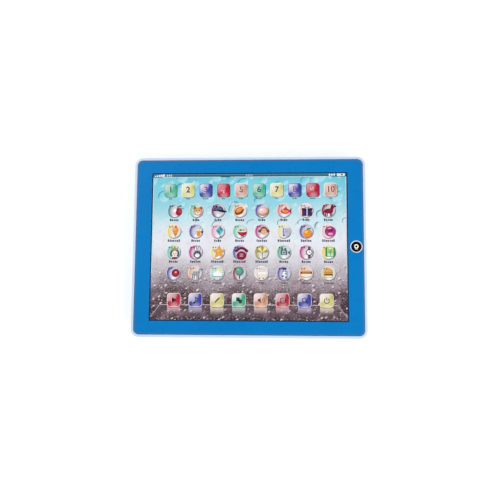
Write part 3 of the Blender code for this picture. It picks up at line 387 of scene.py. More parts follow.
def printed_ink(name, look="plain"):
    """Ink in the colour that its shape holds. Tiles glow from their upper left, as far as their gloss
    says; balls are pale inside, with their colour on the left and a dark edge at the lower right, and
    their gloss says how dusky they are."""
    surface = Surface(name, 0.28, specular=0.3)
    own = surface.node("Attribute", attribute_name="tint").outputs["Color"]
    spot = surface.node("Attribute", attribute_name="spot").outputs["Vector"]
    raster = surface.noise(0.5 * MM, 2.0)
    shade = surface.mix(surface.spread(raster, 0.3, 0.7, 0.0, 0.12), own, colour("#3A3440"))
    white = colour("#FDFBFC")

    gloss = surface.axes(spot)[2]
    spot = surface.vector("MULTIPLY", spot, (1.0, 1.0, 0.0))

    def from_point(u, v):
        return surface.vector("LENGTH", surface.vector("SUBTRACT", spot, (u, v, 0.0)))

    if look == "tile":
        lamp = from_point(-0.95, 1.0)
        fading = surface.times(surface.spread(lamp, 0.1, 1.5, 1.0, 0.5), gloss)
        cap = surface.times(surface.spread(lamp, 1.65, 1.2), fading)
        shade = surface.mix(surface.spread(from_point(0.1, -0.9), 0.9, 0.1, 0.0, 0.25), shade, white)
        corner = surface.spread(from_point(1.1, 0.5), 0.75, 0.1, 0.0, 0.3)
        shade = surface.mix(corner, shade, colour("#2A2436"))
        shade = surface.mix(cap, shade, colour("#F8F2FA"))
    if look == "ball":
        deep = surface.spread(from_point(0.42, -0.14), 0.72, 1.26)
        pale = surface.mix(0.22, colour("#E0E5EC"), own)
        shade = surface.mix(deep, pale, shade)
        shade = surface.mix(surface.spread(from_point(0.05, -0.72), 0.45, 0.1, 0.0, 0.8), shade, white)
        out = surface.vector("LENGTH", spot)
        side = surface.vector("DOT_PRODUCT", spot, (0.7, -0.7, 0.0))
        rim = surface.times(surface.spread(out, 0.82, 0.94), surface.spread(side, 0.1, -0.6, 0.0, 0.65))
        shade = surface.mix(rim, shade, white)
        edge = surface.times(surface.spread(out, 0.86, 0.97), surface.spread(side, -0.1, 0.7))
        shade = surface.mix(surface.times(edge, 0.75), shade, colour("#3D4152"))
        shade = surface.mix(gloss, shade, colour("#5E5560"))
    surface.paint(shade)
    surface.dull(0.22, 0.34, surface.noise(3 * MM, 3.0))
    surface.emboss(raster, 0.003 * MM)
    return surface.material


# ---- finishes of the CAD nodes -----------------------------------------------------------------------

def bezel_plastic(name, shade):
    """Glossy blue plastic, with a greyer band of painted shade along the rounded outer edge."""
    surface = Surface(name, 0.3, specular=0.2)
    flow = surface.noise(45 * MM, 3.0)
    cast = surface.mix(surface.spread(flow, 0.3, 0.7), darker(shade, 0.95), shade)
    half = (BEZEL_HIGH - BEZEL_LOW) / 2
    corner = 7.0 * MM
    inner = (half.x - corner, half.y - corner, 1.0)
    past = surface.vector("SUBTRACT", surface.vector("ABSOLUTE", surface.place), inner)
    out = surface.vector("LENGTH", surface.vector("MAXIMUM", past, (0.0, 0.0, 0.0)))
    # painted shade: a greyer blue band along the rounded outer edge stands in for the shade on the rounding
    wear_and_edge_shade = surface.spread(out, corner - 2.2 * MM, corner - 1.2 * MM, 0.0, 0.85)
    specks = surface.spread(surface.noise(0.5 * MM, 2.0), 0.62, 0.78, 0.0, 0.3)
    cast = surface.mix(specks, cast, darker(shade, 0.88))
    surface.paint(surface.mix(wear_and_edge_shade, cast, colour("#386FA6")))
    surface.dull(0.25, 0.37, surface.noise(6 * MM, 4.0))
    surface.emboss(surface.noise(0.7 * MM, 3.0), 0.004 * MM)
    return surface.material


def make_finishes():
    """A finish for each of the record's material slots."""
    rim = colour("#CBDDF3")
    return {
        "blue_plastic": bezel_plastic("blue_plastic", colour("#047BC3")),
        "white_plastic": moulded("white_plastic", rim, 0.42, 0.45 * MM, 0.012 * MM, 0.4, contrast=0.03),
        "printed_film": picture_sheet("picture_sheet"),
        "clear_film": milky_film("clear_film", colour("#DCDDD6")),
        "grey_plastic": moulded("grey_plastic", colour("#A4A8AE"), 0.5, 0.5 * MM, 0.01 * MM),
        "black_plastic": moulded("black_plastic", colour("#07070F"), 0.2, 0.6 * MM, 0.003 * MM, 0.3, 0.1),
        "chrome": metal("chrome", colour("#EDF3FF"), 0.3, (1.0, 1.0, 14.0), 0.06, 0.1),
        "rubber": moulded("rubber", colour("#C9C6BC"), 0.62, 0.3 * MM, 0.01 * MM, 0.3),
        "board_green": circuit_board("board_green"),
        "epoxy_black": moulded("epoxy_black", colour("#17171A"), 0.55, 0.25 * MM, 0.012 * MM, 0.35),
        "connector_white": moulded("connector_white", colour("#E6E1D2"), 0.4, 0.5 * MM, 0.006 * MM),
        "steel": metal("steel", colour("#BFC1C6"), 0.3, (1.0, 1.0, 9.0), 0.35),
        "ferrite": porous("ferrite", colour("#3A3B3F"), 0.35 * MM, 0.02 * MM, 0.7),
        "paper_cone": porous("paper_cone", colour("#2C2B2C"), 0.8 * MM, 0.03 * MM),
        "foam": porous("foam", colour("#3B3B3D"), 0.6 * MM, 0.08 * MM, 0.9),
        "cell_jacket": wrapped_cell("cell_jacket"),
        "capacitor_sleeve": moulded("capacitor_sleeve", colour("#20304F"), 0.32, 1.2 * MM, 0.01 * MM),
        "wire_red": moulded("wire_red", colour("#B8242B"), 0.4, 0.5 * MM, 0.008 * MM),
        "wire_black": moulded("wire_black", colour("#1B1B1E"), 0.42, 0.5 * MM, 0.008 * MM),
    }


def smooth(piece, angle=32.0):
    """Rounds the shading of a faceted mesh, and keeps its edges sharp above the angle."""
    custom = piece.data.attributes.get("custom_normal")
    if custom:
        piece.data.attributes.remove(custom)
    piece.data.shade_smooth()
    weld = piece.modifiers.new("weld", "WELD")
    weld.merge_threshold = 0.002 * MM
    split = piece.modifiers.new("sharp_edges", "EDGE_SPLIT")
    split.split_angle = math.radians(angle)
    piece.modifiers.new("flat_faces", "WEIGHTED_NORMAL")


def finish_nodes():
    finishes = make_finishes()
    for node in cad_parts.values():
        slot = node.data.materials[0].name
        node.data.materials[0] = finishes[slot.split(".")[0]]
        smooth(node)


# ---- outlines, in units of the shape they belong to --------------------------------------------------

def oval(x, y, wide, high=None, turn=0.0, sides=22):
    """An ellipse of those half widths, turned by degrees."""
    return turned([(wide * math.cos(a), (high or wide) * math.sin(a)) for a in angles(0, 360, sides, False)],
                  x, y, turn)


def angles(start, stop, steps, closed=True):
    """Angles in radians from start to stop, in degrees, with or without the last."""
    return [math.radians(start + (stop - start) * i / steps) for i in range(steps + closed)]


def turned(points, x, y, turn):
    c, s = math.cos(math.radians(turn)), math.sin(math.radians(turn))
    return [(x + c * u - s * v, y + s * u + c * v) for u, v in points]


def block(x, y, wide, high, soft=0.0, turn=0.0):
    """A rectangle with that width and height, with its corners rounded by soft."""
    if not soft:
        corners = [(u * wide / 2, v * high / 2) for u, v in ((-1, -1), (1, -1), (1, 1), (-1, 1))]
        return turned(corners, x, y, turn)
    points = []
    for quarter, (sx, sy) in enumerate(((1, 1), (-1, 1), (-1, -1), (1, -1))):
        middle = (sx * (wide / 2 - soft), sy * (high / 2 - soft))
        for a in angles(90 * quarter, 90 * quarter + 90, 5):
            points.append((middle[0] + soft * math.cos(a), middle[1] + soft * math.sin(a)))
    return turned(points, x, y, turn)


def stroke(x, y, to_x, to_y, wide):
    """A straight line of that width between two points."""
    length = math.hypot(to_x - x, to_y - y)
    turn = math.degrees(math.atan2(to_y - y, to_x - x))
    return block((x + to_x) / 2, (y + to_y) / 2, length + wide * 0.6, wide, min(wide, length) * 0.3, turn)


def band(x, y, inner, outer, start, stop):
    """Part of a ring, or a slice of a disc where inner is 0, between two angles in degrees."""
    steps = max(4, int(abs(stop - start) / 14))
    outside = [(x + outer * math.cos(a), y + outer * math.sin(a)) for a in angles(start, stop, steps)]
    if not inner:
        return outside + ([(x, y)] if abs(stop - start) != 180 else [])
    inside = [(x + inner * math.cos(a), y + inner * math.sin(a)) for a in angles(stop, start, steps)]
    return outside + inside


def star(x, y, outer, inner, points=5):
    reach = [outer if i % 2 == 0 else inner for i in range(2 * points)]
    ways = angles(90, 450, 2 * points, False)
    return [(x + r * math.cos(a), y + r * math.sin(a)) for r, a in zip(reach, ways)]


# ---- ink ---------------------------------------------------------------------------------------------

class Inks:
    """Printed shapes in one mesh: films of ink, each closed all round and bedded in the sheet below."""

    def __init__(self, name, base=SHEET_TOP):
        self.name = name
        self.base = base - 0.3 * INK
        self.mesh = bmesh.new()
        self.tint = self.mesh.verts.layers.float_color.new("tint")
        self.spot = self.mesh.verts.layers.float_vector.new("spot")

    def lay(self, outline, shade, layer, place=(0.0, 0.0), size=MM, gloss=0.0):
        """An outline in units of size about a place, in one colour and gloss, as high as its layer."""
        area = sum(a[0] * b[1] - b[0] * a[1] for a, b in zip(outline, outline[1:] + outline[:1]))
        outline = outline if area > 0 else outline[::-1]
        low, high = [[self.corner(u, v, level, place, size, shade, gloss) for u, v in outline]
                     for level in (self.base, self.base + layer * INK)]
        self.mesh.faces.new(high)
        self.mesh.faces.new(low[::-1])
        for i in range(len(low)):
            j = (i + 1) % len(low)
            self.mesh.faces.new((low[i], low[j], high[j], high[i]))

    def corner(self, u, v, level, place, size, shade, gloss):
        corner = self.mesh.verts.new((place[0] + size * u, place[1] + size * v, level))
        corner[self.tint] = shade
        corner[self.spot] = (u, v, gloss)
        return corner

    def lay_number(self, text, shade, layer, place, height):
        """A printed number, centred on a place."""
        curve = bpy.data.curves.new("number", "FONT")
        curve.body = text
        curve.align_x = "CENTER"
        curve.align_y = "CENTER"
        curve.size = height / FIGURE_SHARE
        curve.offset = 0.035 * height
        curve.extrude = layer * INK / 2
        curve.resolution_u = 5
        figure = add_object("number", curve)
        figure.location = (*place, self.base + layer * INK / 2)
        bpy.context.view_layer.update()
        solid = bpy.data.meshes.new_from_object(figure.evaluated_get(bpy.context.evaluated_depsgraph_get()))
        solid.transform(figure.matrix_world)
        before = set(self.mesh.verts)
        self.mesh.from_mesh(solid)
        added = [corner for corner in self.mesh.verts if corner not in before]
        for corner in added:
            corner[self.tint] = shade
        bmesh.ops.remove_doubles(self.mesh, verts=added, dist=0.0005 * MM)
        bpy.data.objects.remove(figure)
        bpy.data.meshes.remove(solid)

    def done(self, material, body="root", slot="printed_film"):
        data = bpy.data.meshes.new(self.name)
        self.mesh.to_mesh(data)
        self.mesh.free()
        data.materials.append(material)
        piece = add_object(self.name, data)
        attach(piece, body)


# ---- pictures, each within a circle of radius 1 ------------------------------------------------------

def eyes(x, y, apart, radius):
    return [("ink", oval(x - apart, y, radius, sides=10)), ("ink", oval(x + apart, y, radius, sides=10))]


def apple():
    return [("blush", oval(-0.22, -0.12, 0.46, 0.56)), ("crimson", oval(0.22, -0.12, 0.46, 0.56)),
            ("white", oval(-0.34, 0.06, 0.2, 0.3, -20)), ("brown", stroke(0.0, 0.32, 0.1, 0.72, 0.1)),
            ("teal", oval(0.36, 0.66, 0.27, 0.12, 25)), ("red", oval(0.34, -0.04, 0.16, 0.3, 10))]


def bear():
    ears = [("rust", oval(side * 0.42, 0.42, 0.22)) for side in (-1, 1)]
    return ears + [("rust", oval(0.0, -0.05, 0.6, 0.55)), ("tan", oval(0.0, -0.03, 0.54, 0.49)),
                   ("cream", oval(0.0, -0.26, 0.3, 0.24)), ("maroon", oval(0.0, -0.17, 0.1, 0.07)),
                   ("blush", oval(-0.36, -0.2, 0.12)),
                   ("blush", oval(0.36, -0.2, 0.12))] + eyes(0.0, 0.1, 0.22, 0.07)


def cap():
    return [("navy", band(-0.1, -0.14, 0.0, 0.6, 0, 180)), ("slate", band(-0.1, -0.14, 0.2, 0.48, 20, 160)),
            ("ink", oval(0.36, -0.16, 0.52, 0.13, -8)), ("cyan", oval(-0.1, 0.4, 0.08))]


def roast():
    return [("brown", oval(-0.14, -0.08, 0.58, 0.4, 35)), ("orange", oval(-0.16, 0.02, 0.42, 0.24, 35)),
            ("peach", oval(-0.26, 0.06, 0.16, 0.07, 35)), ("cream", stroke(0.26, 0.24, 0.58, 0.48, 0.15)),
            ("cream", oval(0.6, 0.6, 0.13)), ("cream", oval(0.7, 0.44, 0.13))]


def egg():
    return [("brown", oval(0.06, -0.06, 0.7, 0.54, 12)), ("tan", oval(0.02, -0.02, 0.66, 0.5, 12)),
            ("blush", oval(-0.06, 0.06, 0.52, 0.38, 12)), ("cream", oval(-0.2, 0.14, 0.26, 0.18, 12)),
            ("white", oval(-0.28, 0.2, 0.12, 0.07, 12))]


def fish():
    return [("crimson", [(0.3, 0.0), (0.74, 0.36), (0.62, 0.0), (0.74, -0.36)]),
            ("red", [(-0.24, 0.24), (0.2, 0.2), (0.02, 0.6)]), ("red", oval(-0.08, -0.02, 0.56, 0.34)),
            ("orange", oval(-0.02, -0.06, 0.34, 0.16)), ("white", oval(-0.38, 0.08, 0.1)),
            ("ink", oval(-0.4, 0.08, 0.05, sides=10))]


def gift():
    loops = [("lilac", oval(side * 0.2, 0.52, 0.23, 0.12, side * 28)) for side in (-1, 1)]
    knots = [("ink", oval(side * 0.2, 0.52, 0.12, 0.05, side * 28)) for side in (-1, 1)]
    return [("ink", block(0.0, -0.18, 1.3, 0.9, 0.08)), ("navy", block(0.0, -0.2, 1.14, 0.74, 0.04)),
            ("ink", block(0.0, 0.28, 1.42, 0.26, 0.06)), ("lilac", block(0.0, -0.1, 0.16, 1.0)),
            ("maroon", block(-0.42, -0.2, 0.1, 0.74)),
            ("maroon", block(0.42, -0.2, 0.1, 0.74))] + loops + knots


def horse():
    legs = [("maroon", stroke(x, -0.24, x - 0.03, -0.7, 0.13)) for x in (-0.42, -0.22, 0.14, 0.32)]
    return legs + [("maroon", oval(-0.06, -0.12, 0.54, 0.3)),
                   ("maroon", stroke(0.3, -0.02, 0.46, 0.44, 0.3)),
                   ("crimson", oval(-0.1, -0.04, 0.4, 0.14)), ("maroon", oval(0.58, 0.5, 0.27, 0.14, -28)),
                   ("ink", stroke(0.18, 0.14, 0.34, 0.66, 0.12)),
                   ("ink", stroke(-0.54, -0.06, -0.72, -0.46, 0.13)),
                   ("white", oval(0.54, 0.54, 0.04, sides=8))]


def ice_cream():
    return [("tan", [(-0.32, 0.0), (0.32, 0.0), (0.0, -0.8)]),
            ("rust", stroke(-0.2, -0.16, 0.1, -0.42, 0.05)),
            ("rust", stroke(0.2, -0.16, -0.1, -0.42, 0.05)), ("orange", oval(0.0, 0.22, 0.4)),
            ("peach", oval(-0.12, 0.32, 0.16)), ("red", oval(0.05, 0.66, 0.13))]


def juice():
    return [("green", stroke(0.04, 0.2, 0.3, 0.82, 0.08)),
            ("cream", [(-0.36, 0.36), (0.36, 0.36), (0.26, -0.68), (-0.26, -0.68)]),
            ("orange", [(-0.31, 0.16), (0.31, 0.16), (0.23, -0.62), (-0.23, -0.62)]),
            ("yellow", oval(0.0, 0.16, 0.3, 0.08)), ("ink", oval(0.5, 0.0, 0.16)),
            ("slate", oval(0.48, 0.03, 0.08))]


def kite():
    return [("teal", [(0.0, 0.72), (0.48, 0.14), (0.0, -0.44), (-0.48, 0.14)]),
            ("cyan", [(0.0, 0.72), (0.0, 0.14), (-0.48, 0.14)]),
            ("cyan", [(0.0, -0.44), (0.0, 0.14), (0.48, 0.14)]),
            ("ink", stroke(0.0, -0.44, 0.22, -0.8, 0.05)), ("teal", oval(0.1, -0.62, 0.14, 0.06, 30))]


def lunch():
    return [("crimson", band(0.0, 0.02, 0.0, 0.6, 180, 360)), ("red", band(0.0, 0.0, 0.3, 0.5, 200, 280)),
            ("cream", oval(0.0, 0.06, 0.6, 0.17)), ("leaf", oval(-0.22, 0.16, 0.2, 0.13)),
            ("orange", oval(0.2, 0.17, 0.2, 0.12)), ("crimson", block(0.0, -0.62, 0.42, 0.1))]


def monkey():
    ears = [("brown", oval(side * 0.54, 0.0, 0.2)) for side in (-1, 1)]
    return ears + [("brown", oval(0.0, 0.08, 0.5, 0.52)), ("peach", oval(0.0, -0.12, 0.38, 0.36)),
                   ("peach", oval(0.0, 0.14, 0.3, 0.2)),
                   ("rust", stroke(-0.14, -0.26, 0.14, -0.26, 0.05))] + eyes(0.0, 0.1, 0.14, 0.06)


def notebook():
    lines = [("violet", stroke(-0.14, y, 0.34, y, 0.05)) for y in (0.26, 0.04, -0.18)]
    cover = [("slate", block(0.04, -0.06, 0.92, 1.12, 0.08)), ("silver", block(0.0, 0.0, 0.9, 1.1, 0.08)),
             ("lilac", block(0.06, 0.0, 0.74, 1.0, 0.04))]
    return cover + lines + [("slate", block(-0.36, 0.0, 0.1, 1.1, 0.03)),
                            ("ink", oval(-0.3, -0.52, 0.12, 0.08, 20))]


def orange():
    return [("rust", oval(0.02, -0.08, 0.56)), ("orange", oval(0.0, -0.04, 0.54)),
            ("yellow", oval(-0.16, 0.14, 0.22, 0.15, 30)), ("leaf", oval(0.22, 0.54, 0.24, 0.1, 20)),
            ("ink", stroke(0.0, 0.42, 0.03, 0.62, 0.08))]


def purple_ball():
    return [("plum", oval(0.0, 0.0, 0.84)), ("magenta", oval(0.02, -0.08, 0.7)),
            ("pink", oval(0.05, -0.4, 0.4, 0.2)), ("plum", oval(0.0, 0.18, 0.5, 0.26)),
            ("pink", oval(-0.1, 0.5, 0.34, 0.14, 10))]


def queen():
    hair = [("slate", oval(side * 0.42, -0.16, 0.2, 0.42)) for side in (-1, 1)]
    crown = [(-0.4, 0.3), (-0.48, 0.74), (-0.2, 0.5), (0.0, 0.82), (0.2, 0.5), (0.48, 0.74), (0.4, 0.3)]
    return hair + [("slate", oval(0.0, 0.1, 0.48, 0.44)), ("cream", oval(0.0, -0.16, 0.36, 0.4)),
                   ("olive", crown), ("crimson", oval(0.0, -0.36, 0.1, 0.05)),
                   ("crimson", block(0.0, -0.72, 0.7, 0.24, 0.1))] + eyes(0.0, -0.12, 0.16, 0.06)


def rabbit():
    ears = []
    for side in (-1, 1):
        ears += [("slate", oval(side * 0.22, 0.48, 0.16, 0.44, -side * 8)),
                 ("white", oval(side * 0.22, 0.48, 0.08, 0.32, -side * 8))]
    return ears + [("ink", oval(0.0, -0.24, 0.5, 0.5)), ("slate", oval(0.0, -0.22, 0.45, 0.44)),
                   ("white", oval(0.0, -0.36, 0.3, 0.26)),
                   ("magenta", oval(0.0, -0.26, 0.07, 0.05))] + eyes(0.0, -0.06, 0.18, 0.08)


def yellow_star():
    return [("rust", star(0.0, 0.0, 0.9, 0.43)), ("orange", star(0.0, 0.0, 0.84, 0.4)),
            ("amber", star(0.0, 0.0, 0.66, 0.32)), ("yellow", oval(-0.12, 0.14, 0.16, 0.1, 30)),
            ("brown", oval(-0.12, 0.02, 0.04, sides=8)), ("brown", oval(0.12, 0.02, 0.04, sides=8))]


def telephone():
    rests = [("maroon", oval(side * 0.56, 0.3, 0.22, 0.17, -side * 20)) for side in (-1, 1)]
    keys = [("blush", block(x, y, 0.09, 0.08)) for x in (-0.14, 0.0, 0.14) for y in (-0.08, -0.22, -0.36)]
    body = [("maroon", oval(0.0, -0.26, 0.56, 0.5)), ("crimson", oval(0.0, -0.24, 0.46, 0.4)),
            ("maroon", oval(0.0, -0.22, 0.3, 0.28))]
    return [("maroon", band(0.0, 0.0, 0.44, 0.74, 25, 155))] + rests + body + keys


def umbrella():
    panels = [(("olive", "lemon")[i % 2], band(0.0, -0.06, 0.0, 0.68, 180 - 36 * i, 144 - 36 * i))
              for i in range(5)]
    return panels + [("brown", stroke(0.0, -0.06, 0.0, -0.6, 0.07)),
            ("brown", band(0.12, -0.62, 0.08, 0.16, 180, 360)),
            ("brown", stroke(0.0, 0.6, 0.0, 0.76, 0.06))]


def video():
    reels = [("slate", oval(x, 0.42, 0.18)) for x in (-0.38, 0.06)]
    return reels + [("slate", block(-0.14, -0.06, 0.92, 0.66, 0.1)),
                    ("slate", [(0.34, -0.06), (0.72, 0.24), (0.72, -0.36)]),
                    ("aqua", oval(-0.14, -0.06, 0.25)), ("ink", oval(-0.14, -0.06, 0.15)),
                    ("sky", oval(-0.19, 0.0, 0.05, sides=10))]


def watch():
    hands = [("ink", stroke(0.0, 0.0, 0.0, 0.24, 0.06)), ("ink", stroke(0.0, 0.0, 0.18, -0.08, 0.06))]
    return [("ink", block(0.0, 0.0, 0.34, 1.6, 0.08)), ("slate", block(0.0, 0.0, 0.2, 1.5, 0.06)),
            ("ink", oval(0.0, 0.0, 0.44)), ("white", oval(0.0, 0.0, 0.33))] + hands


def x_ray():
    ribs = [("leaf", band(0.0, y - 0.16, 0.26, 0.34, 30, 150)) for y in (0.26, 0.06, -0.14)]
    return [("leaf", block(0.0, 0.0, 1.36, 1.3, 0.16)), ("lime", block(0.0, 0.04, 0.84, 1.16, 0.1)),
            ("aqua", block(0.0, -0.4, 0.84, 0.34, 0.1)), ("white", oval(0.0, 0.42, 0.15)),
            ("leaf", stroke(0.0, -0.46, 0.0, 0.26, 0.08))] + ribs


def yo_yo():
    return [("ink", stroke(0.1, 0.5, 0.5, 0.86, 0.05)), ("maroon", oval(0.0, 0.0, 0.68)),
            ("crimson", oval(0.0, 0.0, 0.56)), ("red", oval(0.02, 0.0, 0.34)),
            ("blush", oval(0.02, 0.14, 0.17, 0.12, 30))]


def zebra():
    stripes = [("ink", stroke(x, -0.2 + 0.1 * (x > 0), x + 0.1, 0.2, 0.08)) for x in (-0.4, -0.2, 0.0, 0.2)]
    legs = [("slate", stroke(x, -0.24, x - 0.03, -0.7, 0.1)) for x in (-0.42, -0.2, 0.14, 0.34)]
    return legs + [("grey", oval(-0.06, -0.04, 0.56, 0.3)), ("silver", oval(-0.06, 0.04, 0.5, 0.2)),
                   ("grey", stroke(0.34, 0.04, 0.5, 0.46, 0.26)),
                   ("grey", oval(0.6, 0.52, 0.24, 0.12, -28)), ("ink", oval(0.74, 0.46, 0.09))] + stripes


def cloudy():
    rays = []
    for a in angles(-20, 200, 6):
        c, s = math.cos(a), math.sin(a)
        rays.append(("mint", stroke(0.2 + 0.42 * c, 0.26 + 0.42 * s, 0.2 + 0.56 * c, 0.26 + 0.56 * s, 0.07)))
    puffs = [(-0.34, -0.14, 0.26), (0.0, -0.02, 0.32), (0.34, -0.16, 0.24)]
    cloud = [("white", oval(x, y, r)) for x, y, r in puffs]
    cloud.append(("white", block(0.0, -0.26, 1.18, 0.26, 0.12)))
    drops = [("teal", stroke(x, -0.56, x - 0.08, -0.72, 0.06)) for x in (-0.3, 0.0, 0.3)]
    sun = [("lemon", oval(0.2, 0.26, 0.32)), ("teal", block(0.0, -0.3, 1.3, 0.36, 0.16))]
    return rays + sun + cloud + drops


def tree():
    return [("brown", block(0.0, -0.46, 0.16, 0.56)), ("teal", oval(0.0, 0.2, 0.5, 0.54)),
            ("green", oval(-0.08, 0.26, 0.38, 0.4)), ("mint", oval(-0.16, 0.38, 0.14, 0.12)),
            ("red", oval(0.2, 0.06, 0.08)), ("red", oval(-0.22, 0.0, 0.08)),
            ("red", oval(0.16, 0.42, 0.08))]


def cake():
    candles = []
    for x in (-0.28, 0.0, 0.28):
        candles += [("blush", block(x, 0.4, 0.08, 0.3)), ("amber", oval(x, 0.62, 0.06, 0.1, sides=10))]
    return candles + [("tan", block(0.0, -0.24, 1.2, 0.66, 0.1)),
            ("cream", block(0.0, -0.22, 1.12, 0.6, 0.1)), ("white", block(0.0, 0.08, 1.16, 0.24, 0.1)),
            ("blush", block(0.0, -0.26, 1.12, 0.08)), ("slate", oval(-0.34, -0.66, 0.1, 0.07)),
            ("slate", oval(0.16, -0.68, 0.1, 0.07))]


def milk():
    return [("navy", block(0.0, -0.18, 0.72, 1.06, 0.14)), ("navy", block(0.0, 0.44, 0.36, 0.34, 0.04)),
            ("lilac", block(0.0, -0.2, 0.6, 0.94, 0.1)), ("white", block(-0.06, -0.16, 0.4, 0.8, 0.1)),
            ("lilac", block(0.0, 0.4, 0.24, 0.3, 0.03)), ("navy", block(0.0, 0.66, 0.5, 0.24, 0.06)),
            ("navy", oval(-0.2, -0.3, 0.14, 0.1, 20)), ("navy", oval(0.16, -0.44, 0.12, 0.1, -20)),
            ("navy", oval(0.14, 0.02, 0.1, 0.08))]


def hot_dog():
    drips = [("amber", stroke(x, 0.06 + 0.08 * (i % 2), x + 0.24, 0.14 - 0.08 * (i % 2), 0.05))
             for i, x in enumerate((-0.5, -0.26, -0.02, 0.22))]
    return [("rust", oval(0.0, 0.2, 0.72, 0.24)), ("peach", oval(0.0, 0.24, 0.68, 0.2)),
            ("rust", oval(0.0, -0.2, 0.74, 0.32)), ("cream", oval(0.0, -0.2, 0.68, 0.26)),
            ("brown", block(0.0, 0.08, 1.44, 0.26, 0.13)),
            ("rust", block(0.0, 0.12, 1.2, 0.1, 0.05))] + drips


def hamburger():
    seeds = [("cream", oval(x, y, 0.06, 0.04, turn))
             for x, y, turn in ((-0.2, 0.42, 20), (0.1, 0.5, -10), (0.3, 0.3, -20))]
    return [("rust", block(0.0, -0.46, 1.2, 0.3, 0.12)), ("cream", block(0.0, -0.44, 1.1, 0.22, 0.1)),
            ("brown", block(0.0, -0.2, 1.3, 0.26, 0.1)), ("amber", block(0.0, -0.04, 1.24, 0.1, 0.03)),
            ("leaf", block(0.0, 0.06, 1.3, 0.1, 0.05)), ("rust", band(0.0, 0.08, 0.0, 0.64, 0, 180)),
            ("orange", band(0.0, 0.1, 0.0, 0.58, 0, 180)),
            ("amber", oval(-0.16, 0.4, 0.24, 0.12, 20))] + seeds


# Each row's pictures from left to right: the colour of the badge behind, then the picture's middle and
# size, with the badge's radius as 1.
PICTURES = [
    [(apple, "teal", 0.4, -0.06, 1.0), (bear, "mint", 0.24, -0.1, 1.0), (cap, "plum", 0.2, 0.08, 1.2),
     (roast, "peach", 0.1, 0.02, 1.2), (egg, "dusk", 0.16, -0.1, 1.08), (fish, "salmon", 0.28, -0.1, 1.12),
     (gift, "blush", 0.14, -0.14, 1.04), (horse, "crimson", 0.14, 0.02, 1.14)],
    [(ice_cream, "yellow", 0.2, -0.1, 1.1), (juice, "dusk", 0.4, -0.1, 0.95),
     (kite, "pink", 0.28, -0.06, 1.15), (lunch, "mint", 0.36, -0.04, 1.05),
     (monkey, "magenta", 0.3, 0.0, 1.05),
     (notebook, "straw", 0.3, -0.1, 1.0), (orange, "dusk", 0.2, -0.26, 1.08),
     (purple_ball, "blush", 0.24, -0.06, 0.86)],
    [(queen, "mint", 0.16, -0.06, 1.06), (rabbit, "magenta", 0.26, -0.1, 1.06),
     (yellow_star, "straw", 0.24, -0.02, 1.06), (telephone, "dusk", 0.28, -0.18, 1.2),
     (umbrella, "olive", 0.1, 0.0, 1.14), (video, "green", 0.14, -0.02, 0.98),
     (watch, "magenta", 0.42, -0.04, 1.0), (x_ray, "yellow", 0.24, 0.0, 0.98)],
    [(yo_yo, "dusk", 0.34, -0.02, 0.8), (zebra, "peach", 0.14, -0.04, 1.08),
     (cloudy, "aqua", 0.06, -0.04, 1.06), (tree, "crimson", 0.04, 0.0, 1.14),
     (cake, "cream", 0.06, -0.06, 1.0), (milk, "violet", 0.1, -0.1, 1.04),
     (hot_dog, "peach", 0.02, -0.02, 1.1), (hamburger, "key yellow", -0.02, -0.02, 0.9)],
]


# ---- symbols of the function keys, each within a square of half width 1 ------------------------------

def play():
    return [[(-0.3, -0.42), (0.44, 0.0), (-0.3, 0.42)]]


def note():
    return [oval(-0.18, -0.36, 0.2, 0.15, 20), stroke(-0.02, -0.34, -0.02, 0.4, 0.1),
            stroke(-0.02, 0.4, 0.34, 0.2, 0.14)]


def pencil():
    return [block(0.06, 0.06, 0.84, 0.22, 0.03, 45), [(-0.42, -0.42), (-0.32, -0.16), (-0.16, -0.32)]]


def two_cards():
    return [block(-0.14, 0.12, 0.5, 0.58, 0.06), block(0.2, -0.16, 0.5, 0.58, 0.06)]


def loudspeaker():
    waves = [band(0.04, 0.0, r, r + 0.1, -45, 45) for r in (0.24, 0.44)]
    return [[(-0.44, -0.16), (-0.26, -0.16), (0.0, -0.4), (0.0, 0.4), (-0.26, 0.16), (-0.44, 0.16)]] + waves


def round_arrow():
    return [band(0.0, 0.0, 0.3, 0.44, 60, 360), [(0.16, 0.0), (0.58, 0.0), (0.37, 0.26)]]


def magnifier():
    return [band(-0.08, 0.08, 0.22, 0.34, 0, 359), stroke(0.16, -0.16, 0.42, -0.42, 0.14)]


def power():
    return [band(0.0, -0.04, 0.3, 0.42, 120, 420), stroke(0.0, 0.04, 0.0, 0.46, 0.12)]


FUNCTIONS = [(play, "key red"), (note, "key blue"), (pencil, "key yellow"), (two_cards, "key green"),
             (loudspeaker, "key orange"), (round_arrow, "key red"), (magnifier, "key blue"),
             (power, "key yellow")]

# The five looks of the number keys, which come round twice: the colour of the key, of the bevel around
# it and of its figure, how much it shines, and whether the bevel frames the whole key.
NUMBER_LOOKS = [("#55BB9C", "#B4E6CC", "#2F5B50", 0.58, False),
                ("#DDD993", "#F7F4CF", "#5E3A30", 0.68, True),
                ("#3F4AA4", "#D5D3F0", "#8B4A9E", 0.82, False),
                ("#B92042", "#EFC6D8", "#F4788C", 0.36, False),
                ("#CDA593", "#F3E4DA", "#A24A48", 0.52, True)]


# ---- the printed picture sheet -----------------------------------------------------------------------

def key_centres(keys, count):
    """The middles of a row of printed keys, from left to right."""
    return [keys["x"] + (i - (count - 1) / 2) * keys["pitch"] for i in range(count)]


def lay_caption(inks, x, y, letters, shade, height=2.05):
    """A row of rounded blocks that stands in for a printed word, some as tall as a capital letter."""
    for i in range(letters):
        tall = height * (1.3 if i == 0 or (3 * i + letters) % 5 == 0 else 1.0)
        wide = height * (0.55 + 0.2 * ((5 * i + letters) % 3) / 2)
        middle = x + (i - (letters - 1) / 2) * 0.92 * height * MM
        inks.lay(block(0.0, (tall - height) / 2, wide, tall, 0.2 * height), shade, 2, (middle, y))


